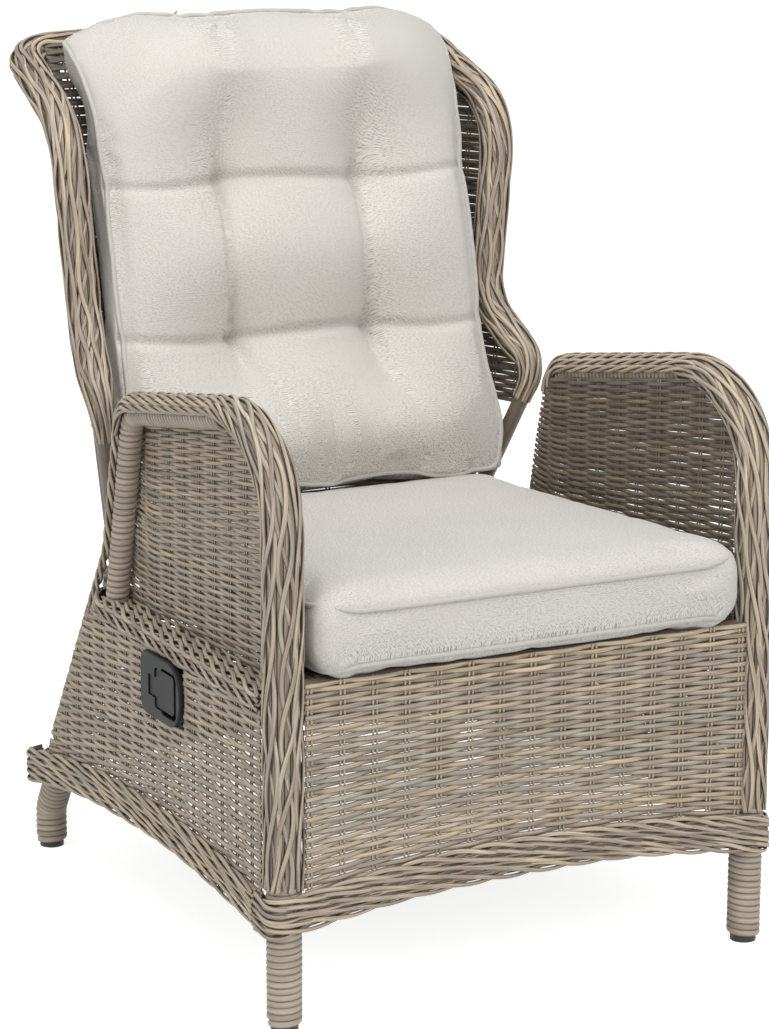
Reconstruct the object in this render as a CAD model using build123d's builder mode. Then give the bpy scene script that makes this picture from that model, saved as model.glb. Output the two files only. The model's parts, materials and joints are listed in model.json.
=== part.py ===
# Reclining garden armchair: woven strand over a tube frame, two cushions, gas spring and side lever.
# Millimetres, +Z up. The chair faces -Y. Left and right are the sitter's: left is +X.
# The origin lies on the floor under the middle of the chair.
from build123d import *
from math import cos, pi, radians, sin, sqrt, tan
import os

os.makedirs("parts", exist_ok=True)

# Frame tubes
leg_tube = 32
leg_wall = 2
arm_tube = 19
arm_wall = 1.5
rail_tube = 22
rail_wall = 1.5
hem_rod = 12
weld_gap = 0.1
seat_gap = 0.2

# Leg and arm places
front_leg_x = 297
front_leg_y = -366.5
rear_leg_x = 281
rear_leg_y = 326.5
glide_height = 8
glide_flange = 30
glide_plug = 14
front_leg_top = 538
rear_bend_height = 50
rear_bend_radius = 30
rear_leg_top = 370
rear_leg_top_y = 113.5
arm_corner_height = 664
arm_front_radius = 105
arm_rear_radius = 30
arm_rear_y = 34.5
arm_rear_height = 604
post_foot_y = 92.5
post_foot_height = 372
collar_length = 40

# Rails
outer_rail_height = 339
seat_rear_rail_y = 121.5
seat_rear_rail_height = 361
seat_slope = 1.5
deck_thickness = 3
deck_side_gap = 6

# Woven skins and braided bands
weave = 3.7
post_band = 46
arm_band = 44
arm_band_rise = 5
arm_band_open = 3
band_foot = 159
edge_band = 12
edge_band_out = 12
edge_band_turn = 48
hem_depth = 38
hem_thickness = 8.7
hem_front_low = 110
hem_front_rise = 27
hem_rear_low = 86
hem_side_mid = 130
ledge_height = 24
ledge_out = 23
arm_panel_in = 14.4
arm_panel_behind = 10
cap_drop = 21
rear_panel_top = 285

# Windings
leg_strand = 5
leg_pitch = 6.1
front_leg_loops = 14
rear_leg_loops = 5
arm_strand = 4
post_pitch = 8.3
post_loops = 24
arm_pitch = 9.4
arm_loops = 26
winding_start = 12
winding_gap = 0.3

# Backrest
pivot_y = 176.5
pivot_height = 378
recline = 15
upright_x = 248
upright_tube = 20
upright_wall = 1.5
upright_low = 62
cross_drop = 50
cross_tube = 18
panel_offset = 15.4
panel_half_width = 258
panel_low = 420
panel_low_half_width = 236
panel_taper_top = 600
roll_start = 870
roll_radius = 300
roll_angle = 28.8
edge_tube = 20
back_band = 42
wing_flare = 0.31
wing_x = 262
tip_y = 111.5
tip_height = 600
shoulder_y = 203.5
shoulder_height = 675
crook_height = 915
top_corner_x = 280
top_corner_y = 381.5
top_corner_height = 992
top_arch = 14
stay_x = 253
stay_y = 173
stay_height = 440
band_low = 558
wing_low = 545
tip_radius = 35
shoulder_radius = 80
crook_radius = 90
top_radius = 45
arch_radius = 1500

# Cushions
cushion_gap = 0.4
seat_half_width = 259
seat_front_y = -403.5
seat_back_y = 156.5
seat_thickness = 86
seat_crown = 10
seat_corner = 24
back_half_width = 254
back_cushion_low = 470
back_cushion_top = 965
back_depth = 122
back_bulge = 7
back_inset = 24

# Gas spring and pivots
plate_thickness = 5
plate_x = 260.5
plate_round = 14
bolt = 8
bolt_head = 14
bolt_head_height = 5
bolt_fit = 0.06
spring_pin = 8
spring_pin_drop = 24
spring_pin_back = 4
spring_rail_y = -198.5
spring_front_drop = 33
spring_cylinder = 22
spring_wall = 2
spring_rod = 8
spring_fit = 0.1
cylinder_length = 235
cylinder_front = 100
rod_inside = 50
eye_outer = 20
eye_slack = 2.6
eye_width = 12
cheek_gap = 1
cheek_thickness = 4
cheek_round = 10
head_length = 34
head_width = 24

# Release lever
bezel_y = -95.5
bezel_height = 312
bezel_length = 112
bezel_depth = 74
bezel_front_radius = 34
bezel_rear_radius = 16
bezel_proud = 6.5
bezel_body_depth = 8.5
bezel_rim = 9
recess_floor = 2
paddle_bar_length = 50
paddle_bar_height = 45
paddle_stem_length = 18
paddle_stem_height = 22
paddle_thickness = 6
paddle_gap = 1.2
paddle_pin = 4
paddle_round = 5
cable_gland = 9
cable_gland_length = 8
cable_bore = 3
lever_screw_head = 7
lever_screw_height = 2


def keep(piece, label):
    """Label a finished piece and write its STEP file."""
    piece.part.label = label
    export_step(piece.part, f"parts/{label}.step")


def keep_pair(piece, name):
    """Keep a piece made for the sitter's left, and its mirror image for the right."""
    with BuildPart() as twin:
        mirror(piece.part, about=Plane.YZ)
    keep(piece, f"{name}_left")
    keep(twin, f"{name}_right")


def both(piece):
    """One builder that holds a piece and its mirror image as separate solids."""
    with BuildPart() as pair:
        add(piece.part)
        mirror(piece.part, about=Plane.YZ)
    return pair


def bar(start, end, radius, mode=Mode.ADD):
    """A round bar between two points, joined to or cut from the open builder."""
    with BuildSketch(Plane(origin=start, z_dir=end - start)) as disc:
        Circle(radius)
    extrude(disc.sketch, amount=(end - start).length, mode=mode)


def tube_along(path, outer, inner):
    """A round tube swept along a path of lines and arcs."""
    with BuildSketch(Plane(origin=path @ 0, z_dir=path % 0)) as ring:
        Circle(outer)
        if inner:
            Circle(inner, mode=Mode.SUBTRACT)
    with BuildPart() as tube:
        sweep(ring.sketch, path=path)
    return tube


def rounded_way(points, radii):
    """Lines through the points with a round at each corner, in the open line builder."""
    stops = [(a + b) * (1 / 2) for a, b in zip(points[1:-2], points[2:-1])]
    stops = [points[0]] + stops + [points[-1]]
    for start, corner, stop, radius in zip(stops, points[1:], stops[1:], radii):
        FilletPolyline(start, corner, stop, radius=radius)


def meet(point_a, way_a, point_b, way_b):
    """The crossing of two lines in a plane, each given by a point and a direction."""
    cross = way_a.X * way_b.Y - way_a.Y * way_b.X
    gap = point_b - point_a
    return point_a + way_a * ((gap.X * way_b.Y - gap.Y * way_b.X) / cross)


# The side frame lies in an upright plane through the front and rear legs of one side.
# There X runs rearward from the front leg, Y is up and Z points out of the chair.
side_run = Vector(rear_leg_x - front_leg_x, rear_leg_y - front_leg_y, 0)
side_plane = Plane((front_leg_x, front_leg_y, 0), x_dir=side_run, z_dir=side_run.cross(Vector(0, 0, 1)))
rear_leg_s = side_run.length
ledge_low = outer_rail_height + rail_tube / 2 + seat_gap


def side_point(run, height, out=0):
    """A point given in the side plane, as a place in the chair."""
    return side_plane.from_local_coords(Vector(run, height, out))


def run_of(y):
    """The side plane's rearward distance for a place given by its Y."""
    return y - front_leg_y


def front_leg():
    """Upright tube from the glide to the start of the arm's front bend."""
    with BuildPart() as leg:
        with BuildSketch(Plane(side_point(0, glide_height + seat_gap))):
            Circle(leg_tube / 2)
            Circle(leg_tube / 2 - leg_wall, mode=Mode.SUBTRACT)
        extrude(amount=front_leg_top - glide_height - seat_gap)
    return leg


leg_bend = Vector(rear_leg_s, rear_bend_height)
leg_head = Vector(run_of(rear_leg_top_y), rear_leg_top)
leg_way = (leg_head - leg_bend).normalized()
leg_behind = Vector(leg_way.Y, -leg_way.X)


def rear_leg():
    """Bent tube: a short upright foot, then a raked run up to the seat."""
    foot = side_point(rear_leg_s, glide_height + seat_gap)
    knee = side_point(leg_bend.X, leg_bend.Y)
    head = side_point(leg_head.X, leg_head.Y)
    with BuildLine() as route:
        FilletPolyline(foot, knee, head, radius=rear_bend_radius)
    return tube_along(route.wire(), leg_tube / 2, leg_tube / 2 - leg_wall)


def foot_glides():
    """Four plugs with a flange, pushed into the tube ends."""
    with BuildPart() as glides:
        for place in (side_point(0, 0), side_point(rear_leg_s, 0)):
            for side in (1, -1):
                spot = Vector(place.X * side, place.Y, 0)
                plug_top = spot + Vector(0, 0, glide_height + glide_plug)
                bar(spot, spot + Vector(0, 0, glide_height), glide_flange / 2)
                bar(spot, plug_top, leg_tube / 2 - leg_wall - weld_gap)
    return glides


arm_corner = Vector(0, arm_corner_height)
rear_corner = Vector(run_of(arm_rear_y), arm_rear_height)
post_foot = Vector(run_of(post_foot_y), post_foot_height)
post_way = (post_foot - rear_corner).normalized()
post_behind = Vector(-post_way.Y, post_way.X)
arm_lay = (rear_corner - arm_corner).normalized()
rail_top = outer_rail_height + rail_tube / 2
post_end = rear_corner + post_way * ((rear_corner.Y - rail_top) / -post_way.Y)


def arm_frame():
    """Bent tube: plugged into the front leg, over the arm and down the rear post to the side rail."""
    points = [side_point(0, front_leg_top - collar_length)]
    points += [side_point(p.X, p.Y) for p in (arm_corner, rear_corner, post_end)]
    with BuildLine() as route:
        rounded_way(points, (arm_front_radius, arm_rear_radius))
    tube = tube_along(route.wire(), arm_tube / 2, arm_tube / 2 - arm_wall)
    with tube:
        bar(*outer_rail_ends(), rail_tube / 2 + weld_gap, mode=Mode.SUBTRACT)
        bar(side_point(leg_bend.X, leg_bend.Y), side_point(leg_head.X, leg_head.Y), leg_tube / 2 + weld_gap,
            mode=Mode.SUBTRACT)
    return tube


def arm_collar():
    """Ring that centres the arm tube in the mouth of the front leg."""
    with BuildPart() as collar:
        with BuildSketch(Plane(side_point(0, front_leg_top - collar_length))):
            Circle(leg_tube / 2 - leg_wall - weld_gap)
            Circle(arm_tube / 2 + weld_gap, mode=Mode.SUBTRACT)
        extrude(amount=collar_length)
    return collar


def outer_rail_ends():
    """The two ends of the outer side rail's centre line."""
    rear = meet(leg_bend, leg_way, Vector(0, outer_rail_height), Vector(1, 0))
    return side_point(0, outer_rail_height), side_point(rear.X, outer_rail_height)


def cope_legs():
    """Cut the open builder where the front and rear leg tubes of the left side run."""
    grown = leg_tube / 2 + weld_gap
    top = leg_head + leg_way * leg_tube
    bar(side_point(0, 0), side_point(0, front_leg_top), grown, mode=Mode.SUBTRACT)
    bar(side_point(leg_bend.X, leg_bend.Y), side_point(top.X, top.Y), grown, mode=Mode.SUBTRACT)


def cope_post():
    """Cut the open builder where the left front post and its braid run."""
    bar(side_point(0, 0), side_point(0, arm_corner_height), post_band / 2 + seat_gap, mode=Mode.SUBTRACT)


def hollow_bar(start, end, outer, wall):
    """A straight tube between two points."""
    with BuildPart() as tube:
        bar(start, end, outer / 2)
        bar(start, end, outer / 2 - wall, mode=Mode.SUBTRACT)
    return tube


def side_rail():
    """Tube from the front leg to the rear leg, under the ledge."""
    tube = hollow_bar(*outer_rail_ends(), rail_tube, rail_wall)
    with tube:
        cope_legs()
    return tube


def cross_rail(y, height, outer, wall, reach, other_tube=None):
    """Tube across the chair, shaped to the tubes that it is welded to."""
    half = Vector(reach, y, height)
    tube = hollow_bar(Vector(0, y, height), half, outer, wall)
    with tube:
        cope_legs()
        if other_tube:
            bar(*other_tube, rail_tube / 2 + weld_gap, mode=Mode.SUBTRACT)
    with BuildPart() as rail:
        add(tube.part)
        mirror(tube.part, about=Plane.YZ)
    return rail


seat_rise = tan(radians(seat_slope))
front_rail_height = seat_rear_rail_height + (seat_rear_rail_y - front_leg_y) * seat_rise
deck_origin = Vector(0, seat_rear_rail_y, seat_rear_rail_height)
deck_back = Vector(0, cos(radians(seat_slope)), -sin(radians(seat_slope)))
deck_plane = Plane(deck_origin, x_dir=(1, 0, 0), z_dir=Vector(1, 0, 0).cross(deck_back))


def seat_deck():
    """Woven webbing stretched over the front and rear seat rails."""
    long = (seat_rear_rail_y - front_leg_y) / cos(radians(seat_slope))
    wide = 2 * (front_leg_x - leg_tube / 2 - weave - deck_side_gap - ledge_height / 2)
    with BuildPart() as deck:
        with BuildSketch(deck_plane.offset(rail_tube / 2 + seat_gap)):
            with Locations((0, -long / 2)):
                Rectangle(wide, long)
        extrude(amount=deck_thickness)
    return deck


front_rod_y = front_leg_y - rail_tube / 2 + hem_rod / 2


def hem_rods():
    """Bent rods that carry the hem braid, and the rod along the top of the rear panel."""
    with BuildPart() as rods:
        z = hem_front_low + hem_depth / 2
        with BuildLine() as front_line:
            ThreePointArc((-front_leg_x, front_rod_y, z), (0, front_rod_y, z + hem_front_rise),
                          (front_leg_x, front_rod_y, z))
        add(tube_along(front_line.wire(), hem_rod / 2, 0).part)
        with BuildLine() as side_line:
            ThreePointArc(side_point(0, z, rear_rod_out),
                          side_point(rear_leg_s / 2, hem_side_mid + hem_depth / 2, rear_rod_out),
                          side_point(rear_rod_foot.X, rear_rod_foot.Y, rear_rod_out))
        rod = tube_along(side_line.wire(), hem_rod / 2, 0)
        add(rod.part)
        mirror(rod.part, about=Plane.YZ)
        with BuildLine() as rear_line:
            ThreePointArc(*[rear_plane.from_local_coords(p) for p in rear_rod_points])
        add(tube_along(rear_line.wire(), hem_rod / 2, 0).part)
        top_y = rear_leg_y - (rear_panel_top - rear_bend_height) * -leg_way.X / leg_way.Y
        across = Vector(rear_leg_x, 0, 0)
        top_middle = Vector(0, top_y, rear_panel_top)
        bar(top_middle - across, top_middle + across, hem_rod / 2)
        cope_legs()
        mirrored_cope()
    return rods


def mirrored_cope():
    """Cut the open builder where the leg tubes of the right side run."""
    with BuildPart(mode=Mode.PRIVATE) as legs:
        bar(side_point(0, 0), side_point(0, front_leg_top), leg_tube / 2 + weld_gap)
        bar(side_point(leg_bend.X, leg_bend.Y), side_point(leg_head.X, leg_head.Y), leg_tube / 2 + weld_gap)
    mirror(legs.part, about=Plane.YZ, mode=Mode.SUBTRACT)


# The rear skin lies behind the raked rear legs. There X runs to the right and Y up the rake.
rear_up = side_point(leg_head.X, leg_head.Y) - side_point(leg_bend.X, leg_bend.Y)
rear_up = Vector(0, rear_up.Y, rear_up.Z).normalized()
rear_out = Vector(-1, 0, 0).cross(rear_up)
rear_plane = Plane((0, rear_leg_y, rear_bend_height), x_dir=(-1, 0, 0), z_dir=rear_out)
rear_low = (hem_rear_low + hem_depth / 2 - rear_bend_height) / rear_up.Z
rear_rod_foot = meet(leg_bend, leg_way, Vector(0, hem_rear_low + hem_depth / 2), Vector(1, 0))
rear_rod_out = leg_tube / 2 - leg_wall - hem_rod / 2
rear_rod_points = [Vector(-rear_leg_x, rear_low, rear_rod_out),
                   Vector(0, rear_low + hem_front_rise, rear_rod_out),
                   Vector(rear_leg_x, rear_low, rear_rod_out)]


def arched_strip(half_run, low, mid, depth):
    """Sketch outline of a hem: two like arcs, one above the other, closed at the ends."""
    with BuildSketch() as strip:
        with BuildLine():
            lower = ThreePointArc((-half_run, low), (0, mid), (half_run, low))
            upper = ThreePointArc((-half_run, low + depth), (0, mid + depth), (half_run, low + depth))
            Line(lower @ 0, upper @ 0)
            Line(lower @ 1, upper @ 1)
        make_face()
    return strip.sketch


def front_hem():
    """Braided lower border of the front panel."""
    half = front_leg_x + leg_tube / 2 + hem_thickness
    face = arched_strip(half, hem_front_low, hem_front_low + hem_front_rise, hem_depth)
    with BuildPart() as hem:
        extrude(Plane.XZ.offset(-front_leg_y + leg_tube / 2 + seat_gap) * face, amount=hem_thickness)
    return hem


def side_outline(front, rear_offset, low, top):
    """Outline of a lower side skin: arched below, level above, raked behind."""
    rear_low_point = meet(leg_bend + leg_behind * rear_offset, leg_way,
                          Vector(0, hem_rear_low + low), Vector(1, 0))
    rear_top_point = meet(leg_bend + leg_behind * rear_offset, leg_way, Vector(0, top), Vector(1, 0))
    with BuildSketch() as outline:
        with BuildLine():
            start = Vector(front, hem_front_low + low)
            ThreePointArc(start, (rear_leg_s / 2, hem_side_mid + low), rear_low_point)
            Polyline(rear_low_point, rear_top_point, (front, top), start)
        make_face()
    return outline.sketch


def side_hem():
    """Braided lower border of a side panel."""
    with BuildSketch() as strip:
        with BuildLine():
            ends = []
            for rise in (0, hem_depth):
                start = Vector(-leg_tube / 2 + seat_gap, hem_front_low + rise)
                middle = Vector(rear_leg_s / 2, hem_side_mid + rise)
                finish = Vector(rear_leg_s + leg_tube / 2, hem_rear_low + rise)
                ThreePointArc(start, middle, finish)
                ends.append((start, finish))
            Line(ends[0][0], ends[1][0])
            Line(ends[0][1], ends[1][1])
        make_face()
    with BuildPart() as hem:
        extrude(side_plane.offset(leg_tube / 2 + weave + 2 * seat_gap) * strip.sketch, amount=hem_thickness)
    return hem


def rear_hem():
    """Braided lower border of the rear panel."""
    half = rear_leg_x + leg_tube / 2
    low = rear_low - hem_depth / 2
    face = arched_strip(half, low, low + hem_front_rise, hem_depth)
    with BuildPart() as hem:
        extrude(rear_plane.offset(leg_tube / 2 + weave + 2 * seat_gap) * face, amount=hem_thickness)
    return hem


front_panel_y = front_leg_y - rail_tube / 2 - seat_gap


def front_panel():
    """Woven front skin between the two front posts."""
    top = front_rail_height + rail_tube / 2
    low = hem_front_low + hem_depth / 2
    with BuildSketch() as outline:
        with BuildLine():
            foot = ThreePointArc((-front_leg_x, low), (0, low + hem_front_rise), (front_leg_x, low))
            Polyline(foot @ 0, (-front_leg_x, top), (front_leg_x, top), foot @ 1)
        make_face()
    with BuildPart() as panel:
        extrude(Plane.XZ.offset(-front_panel_y) * outline.sketch, amount=weave)
        for side in (1, -1):
            foot = Vector(front_leg_x * side, front_leg_y, 0)
            bar(foot, foot + Vector(0, 0, arm_corner_height), post_band / 2 + seat_gap, mode=Mode.SUBTRACT)
    return panel


def side_panel(with_lever):
    """Woven lower side skin from the front post back to the rear leg."""
    face = side_outline(0, leg_tube / 2 - weave, hem_depth / 2, ledge_low - seat_gap)
    with BuildPart() as panel:
        extrude(side_plane.offset(leg_tube / 2 + seat_gap) * face, amount=weave)
        cope_post()
        if with_lever:
            with BuildSketch(side_plane) as hole:
                add(bezel_body_face(seat_gap))
            extrude(hole.sketch, amount=post_band, mode=Mode.SUBTRACT)
    return panel


def rear_panel():
    """Woven skin across the rear legs, up to its own rail."""
    top = (rear_panel_top - rear_bend_height) / rear_up.Z
    half = rear_leg_x + edge_band_out - edge_band / 2 - seat_gap
    with BuildSketch() as outline:
        with BuildLine():
            foot = ThreePointArc((-half, rear_low), (0, rear_low + hem_front_rise), (half, rear_low))
            Polyline(foot @ 0, (-half, top), (half, top), foot @ 1)
        make_face()
    with BuildPart() as panel:
        extrude(rear_plane.offset(leg_tube / 2 + seat_gap) * outline.sketch, amount=weave)
    return panel


def ledge():
    """Braided shelf on the side rail, where the arm panel steps in."""
    length = run_of(post_foot_y) + arm_tube / 2
    with BuildPart() as shelf:
        with BuildSketch(side_plane.offset(-arm_panel_in + seat_gap)) as face:
            with Locations((length / 2, ledge_low + ledge_height / 2)):
                Rectangle(length, ledge_height)
        extrude(face.sketch, amount=ledge_out + arm_panel_in - seat_gap)
        cope_post()
        bar(side_point(rear_corner.X, rear_corner.Y), side_point(post_end.X, post_end.Y),
            arm_tube / 2 + seat_gap, mode=Mode.SUBTRACT)
    return shelf


def arm_panel():
    """Woven skin inside the arm tube, from the front post to behind the rear post."""
    with BuildSketch(cap_start) as section:
        with Locations((-arm_band_rise, 0)):
            Circle(arm_band / 2 + seat_gap)
    behind = rear_corner + post_behind * arm_panel_behind
    top = meet(arm_corner, arm_lay, behind, post_way)
    foot = meet(behind, post_way, Vector(0, ledge_low), Vector(1, 0))
    with BuildSketch() as outline:
        with BuildLine():
            rounded_way([Vector(0, ledge_low), arm_corner, top, foot], (arm_front_radius, arm_rear_radius))
            Line(foot, Vector(0, ledge_low))
        make_face()
    with BuildPart() as panel:
        extrude(side_plane.offset(-arm_panel_in) * outline.sketch, amount=-weave)
        cope_post()
        add(along_arm(section.sketch).part, mode=Mode.SUBTRACT)
    return panel


def front_band():
    """Braided sleeve round the front post, from the hem to the bend."""
    with BuildPart() as sleeve:
        with BuildSketch(Plane(side_point(0, band_foot))):
            Circle(post_band / 2)
            Circle(leg_tube / 2 + seat_gap, mode=Mode.SUBTRACT)
        extrude(amount=front_leg_top - band_foot)
        bar(*outer_rail_ends(), rail_tube / 2 + seat_gap, mode=Mode.SUBTRACT)
        bar(Vector(0, front_leg_y, front_rail_height), side_point(0, front_rail_height),
            rail_tube / 2 + seat_gap, mode=Mode.SUBTRACT)
    return sleeve


cap_start = Plane(side_point(0, front_leg_top + seat_gap), x_dir=side_run, z_dir=(0, 0, 1))


def along_arm(section):
    """A sketch on the cap's start plane swept over the arm to the top of the rear post."""
    points = [cap_start.origin, side_point(arm_corner.X, arm_corner.Y)]
    points += [side_point(p.X, p.Y) for p in (rear_corner, post_end)]
    with BuildLine() as route:
        rounded_way(points, (arm_front_radius, arm_rear_radius))
    drop = rear_corner + post_way * cap_drop
    down = side_point(post_way.X, post_way.Y) - side_point(0, 0)
    with BuildPart() as swept:
        sweep(section, path=route.wire())
        split(bisect_by=Plane(side_point(drop.X, drop.Y), z_dir=down), keep=Keep.BOTTOM)
    return swept


def arm_cap():
    """Braided cap laid over the arm tube, open underneath, from the front post to the rear post."""
    with BuildSketch(cap_start) as section:
        with Locations((-arm_band_rise, 0)):
            Circle(arm_band / 2)
        Circle(arm_tube / 2 + arm_strand + 2 * winding_gap, mode=Mode.SUBTRACT)
        with Locations((arm_band + arm_band_open, 0)):
            Rectangle(2 * arm_band, 2 * arm_band, mode=Mode.SUBTRACT)
    return along_arm(section.sketch)


def edge_braid():
    """Thin braid down the back of the rear post and along the rear edge of the side."""
    wrapped = arm_tube / 2 + arm_strand + winding_gap
    post_off = sqrt((wrapped + edge_band / 2 + seat_gap) ** 2 - edge_band_out ** 2)
    leg_off = sqrt((leg_tube / 2 + edge_band / 2 + seat_gap) ** 2 - edge_band_out ** 2)
    post_line = rear_corner + post_behind * post_off
    leg_line = leg_bend + leg_behind * leg_off
    start = post_line + post_way * (arm_rear_radius + arm_tube)
    knee = meet(post_line, post_way, leg_line, leg_way)
    hem_top = hem_rear_low + 2 * hem_depth
    foot = meet(leg_line, leg_way, Vector(0, hem_top), Vector(1, 0))
    points = [side_point(p.X, p.Y, edge_band_out) for p in (start, knee, foot)]
    with BuildLine() as route:
        FilletPolyline(*points, radius=edge_band_turn)
    return tube_along(route.wire(), edge_band / 2, 0)


def biarc(start, start_way, end, end_way):
    """Two tangent arcs from start to end, each covering half of the turn."""
    chord = end - start
    ways = start_way + end_way
    slack = 2 * (1 - start_way.dot(end_way))
    reach = (sqrt(chord.dot(ways) ** 2 + slack * chord.dot(chord)) - chord.dot(ways)) / slack
    first = start + start_way * reach
    last = end - end_way * reach
    joint = (first + last) * (1 / 2)
    TangentArc(start, joint, tangent=start_way)
    TangentArc(joint, end, tangent=(last - first).normalized())


def winding(foot, way, core, strand, pitch, loops, name):
    """One strand wound round a straight tube: a helix of half turn biarcs with straight ends."""
    frame = Plane(foot, z_dir=way)
    reach = core + strand / 2 + winding_gap
    climb = pitch / (2 * pi)

    def at(turn):
        angle = 2 * pi * turn
        place = Vector(reach * cos(angle), reach * sin(angle), climb * angle)
        heading = Vector(-reach * sin(angle), reach * cos(angle), climb).normalized()
        spot = frame.from_local_coords(place)
        return spot, frame.from_local_coords(place + heading) - spot

    with BuildLine() as coil:
        first, first_way = at(0)
        Line(first - first_way * (strand / 2), first)
        for half in range(2 * loops):
            biarc(*at(half / 2), *at((half + 1) / 2))
        last, last_way = at(loops)
        Line(last, last + last_way * (strand / 2))
    wire = coil.wire()
    steps = 16
    spots = [wire.position_at(i / (steps * loops)) for i in range(steps * loops + 1)]
    near = min((spots[i] - spots[j]).length for i in range(len(spots))
               for j in range(i + steps // 2, min(i + 2 * steps, len(spots))))
    print(f"{name}: {loops} loops, least gap to itself {near - strand:.2f} mm")
    return tube_along(wire, strand / 2, 0)


def front_leg_windings():
    """Strand wound round the front feet."""
    return both(winding(side_point(0, winding_start), Vector(0, 0, 1), leg_tube / 2, leg_strand,
                        leg_pitch, front_leg_loops, "front leg winding"))


def rear_leg_windings():
    """Strand wound round the rear feet."""
    return both(winding(side_point(rear_leg_s, winding_start), Vector(0, 0, 1), leg_tube / 2, leg_strand,
                        leg_pitch, rear_leg_loops, "rear leg winding"))


def arm_windings():
    """Strand wound round the rear posts and round the arm tubes under the cap."""
    top = rear_corner + post_way * (arm_rear_radius - arm_strand)
    bend_reach = arm_front_radius * sqrt((1 - arm_lay.Y) / (1 + arm_lay.Y))
    front = arm_corner + arm_lay * (bend_reach + 2 * arm_strand)
    down = side_point(post_way.X, post_way.Y) - side_point(0, 0)
    back = side_point(arm_lay.X, arm_lay.Y) - side_point(0, 0)
    post = winding(side_point(top.X, top.Y), down, arm_tube / 2, arm_strand, post_pitch, post_loops,
                   "post winding")
    arm = winding(side_point(front.X, front.Y), back, arm_tube / 2, arm_strand, arm_pitch, arm_loops,
                  "arm winding")
    with BuildPart() as strands:
        for strand in (post, arm):
            add(strand.part)
            mirror(strand.part, about=Plane.YZ)
    return strands


# The backrest leans back from its pivot. Its tubes lie on one line behind the woven panel.
lean = tan(radians(recline))
lean_up = Vector(0, sin(radians(recline)), cos(radians(recline)))
lean_behind = Vector(0, cos(radians(recline)), -sin(radians(recline)))
pivot = Vector(0, pivot_y, pivot_height)


def on_lean(height, behind=0):
    """A point on the backrest's line at a height, moved square to it by a distance."""
    spot = pivot + lean_up * ((height - pivot_height) / lean_up.Z)
    return spot + lean_behind * behind


def lean_line(behind):
    """The backrest's side profile at a distance from the tube line: straight, then rolled back."""
    low = on_lean(panel_low, behind)
    start = on_lean(roll_start, behind)
    radius = roll_radius - behind
    centre = start + lean_behind * radius
    turned = radians(recline + roll_angle)
    half = radians(recline + roll_angle / 2)
    end = centre + Vector(0, -cos(turned), sin(turned)) * radius
    middle = centre + Vector(0, -cos(half), sin(half)) * radius
    return low, start, middle, end


def upright_bar(outer, inner):
    """Round section along the left upright: straight, then rolled back at the top."""
    start, middle, end = lean_line(0)[1:]
    with BuildLine() as route:
        Line(pivot - lean_up * upright_low, start)
        ThreePointArc(start, middle, end)
    return tube_along(route.wire().moved(Location((upright_x, 0, 0))), outer, inner)


def upright():
    """Backrest tube from below the pivot up to the top tube."""
    tube = upright_bar(upright_tube / 2, upright_tube / 2 - upright_wall)
    with tube:
        hole = Vector(upright_x - upright_tube, pivot_y, pivot_height)
        bar(hole, hole + Vector(2 * upright_tube, 0, 0), bolt / 2 + bolt_fit, mode=Mode.SUBTRACT)
        add(back_edge(edge_tube / 2 + weld_gap, 0).part, mode=Mode.SUBTRACT)
    return tube


cross_middle = pivot - lean_up * cross_drop


def back_cross_tube():
    """Tube between the lower ends of the uprights, which the gas spring pushes."""
    half = Vector(upright_x, 0, 0)
    with BuildPart() as tube:
        bar(cross_middle - half, cross_middle + half, cross_tube / 2)
        bar(cross_middle - half, cross_middle + half, cross_tube / 2 - upright_wall, mode=Mode.SUBTRACT)
        for side in (1, -1):
            across = Vector(side * upright_x, 0, 0)
            bar(cross_middle + across - lean_up * cross_drop, cross_middle + across + lean_up * cross_drop,
                upright_tube / 2 + weld_gap, mode=Mode.SUBTRACT)
    return tube


def wing_point(y, height):
    """A point on the left wing's plane, which flares out toward the front."""
    hinge = on_lean(height, -panel_offset)
    return Vector(wing_x + wing_flare * (hinge.Y + (height - hinge.Z) * lean - y), y, height)


def back_edge(outer, inner):
    """Round section along the wings' edges and over the top of the backrest."""
    stay = Vector(stay_x, stay_y, stay_height)
    tip = wing_point(tip_y, tip_height)
    shoulder = wing_point(shoulder_y, shoulder_height)
    crook = wing_point(shoulder_y, crook_height)
    corner = Vector(top_corner_x, top_corner_y, top_corner_height)
    left = [stay, tip, shoulder, crook, corner]
    right = [Vector(-p.X, p.Y, p.Z) for p in reversed(left)]
    radii = [tip_radius, shoulder_radius, crook_radius, top_radius]
    with BuildLine() as route:
        FilletPolyline(*left, Vector(0, top_corner_y, top_corner_height + top_arch), *right,
                       radius=radii + [arch_radius] + radii[::-1])
    return tube_along(route.wire(), outer, inner)


def back_edge_tube():
    """The bent tube that shapes the wings and the top."""
    return back_edge(edge_tube / 2, edge_tube / 2 - upright_wall)


def back_edge_band():
    """Braided band round the edge tube."""
    band = back_edge(back_band / 2, edge_tube / 2 + seat_gap)
    with band:
        add(both(upright_bar(upright_tube / 2 + seat_gap, 0)).part, mode=Mode.SUBTRACT)
        extrude(panel_face(seat_gap), amount=panel_half_width + weave, both=True, mode=Mode.SUBTRACT)
        split(bisect_by=Plane.XY.offset(band_low), keep=Keep.TOP)
    return band


def panel_face(grow):
    """Side profile of the woven back panel, thickened by a clearance."""
    front = lean_line(-panel_offset - grow)
    back = lean_line(-panel_offset + weave + grow)
    with BuildSketch(Plane.YZ) as profile:
        with BuildLine():
            for low, start, middle, end in (front, back):
                Line((low.Y, low.Z), (start.Y, start.Z))
                ThreePointArc((start.Y, start.Z), (middle.Y, middle.Z), (end.Y, end.Z))
            Line((front[0].Y, front[0].Z), (back[0].Y, back[0].Z))
            Line((front[3].Y, front[3].Z), (back[3].Y, back[3].Z))
        make_face()
    return profile.sketch


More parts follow.
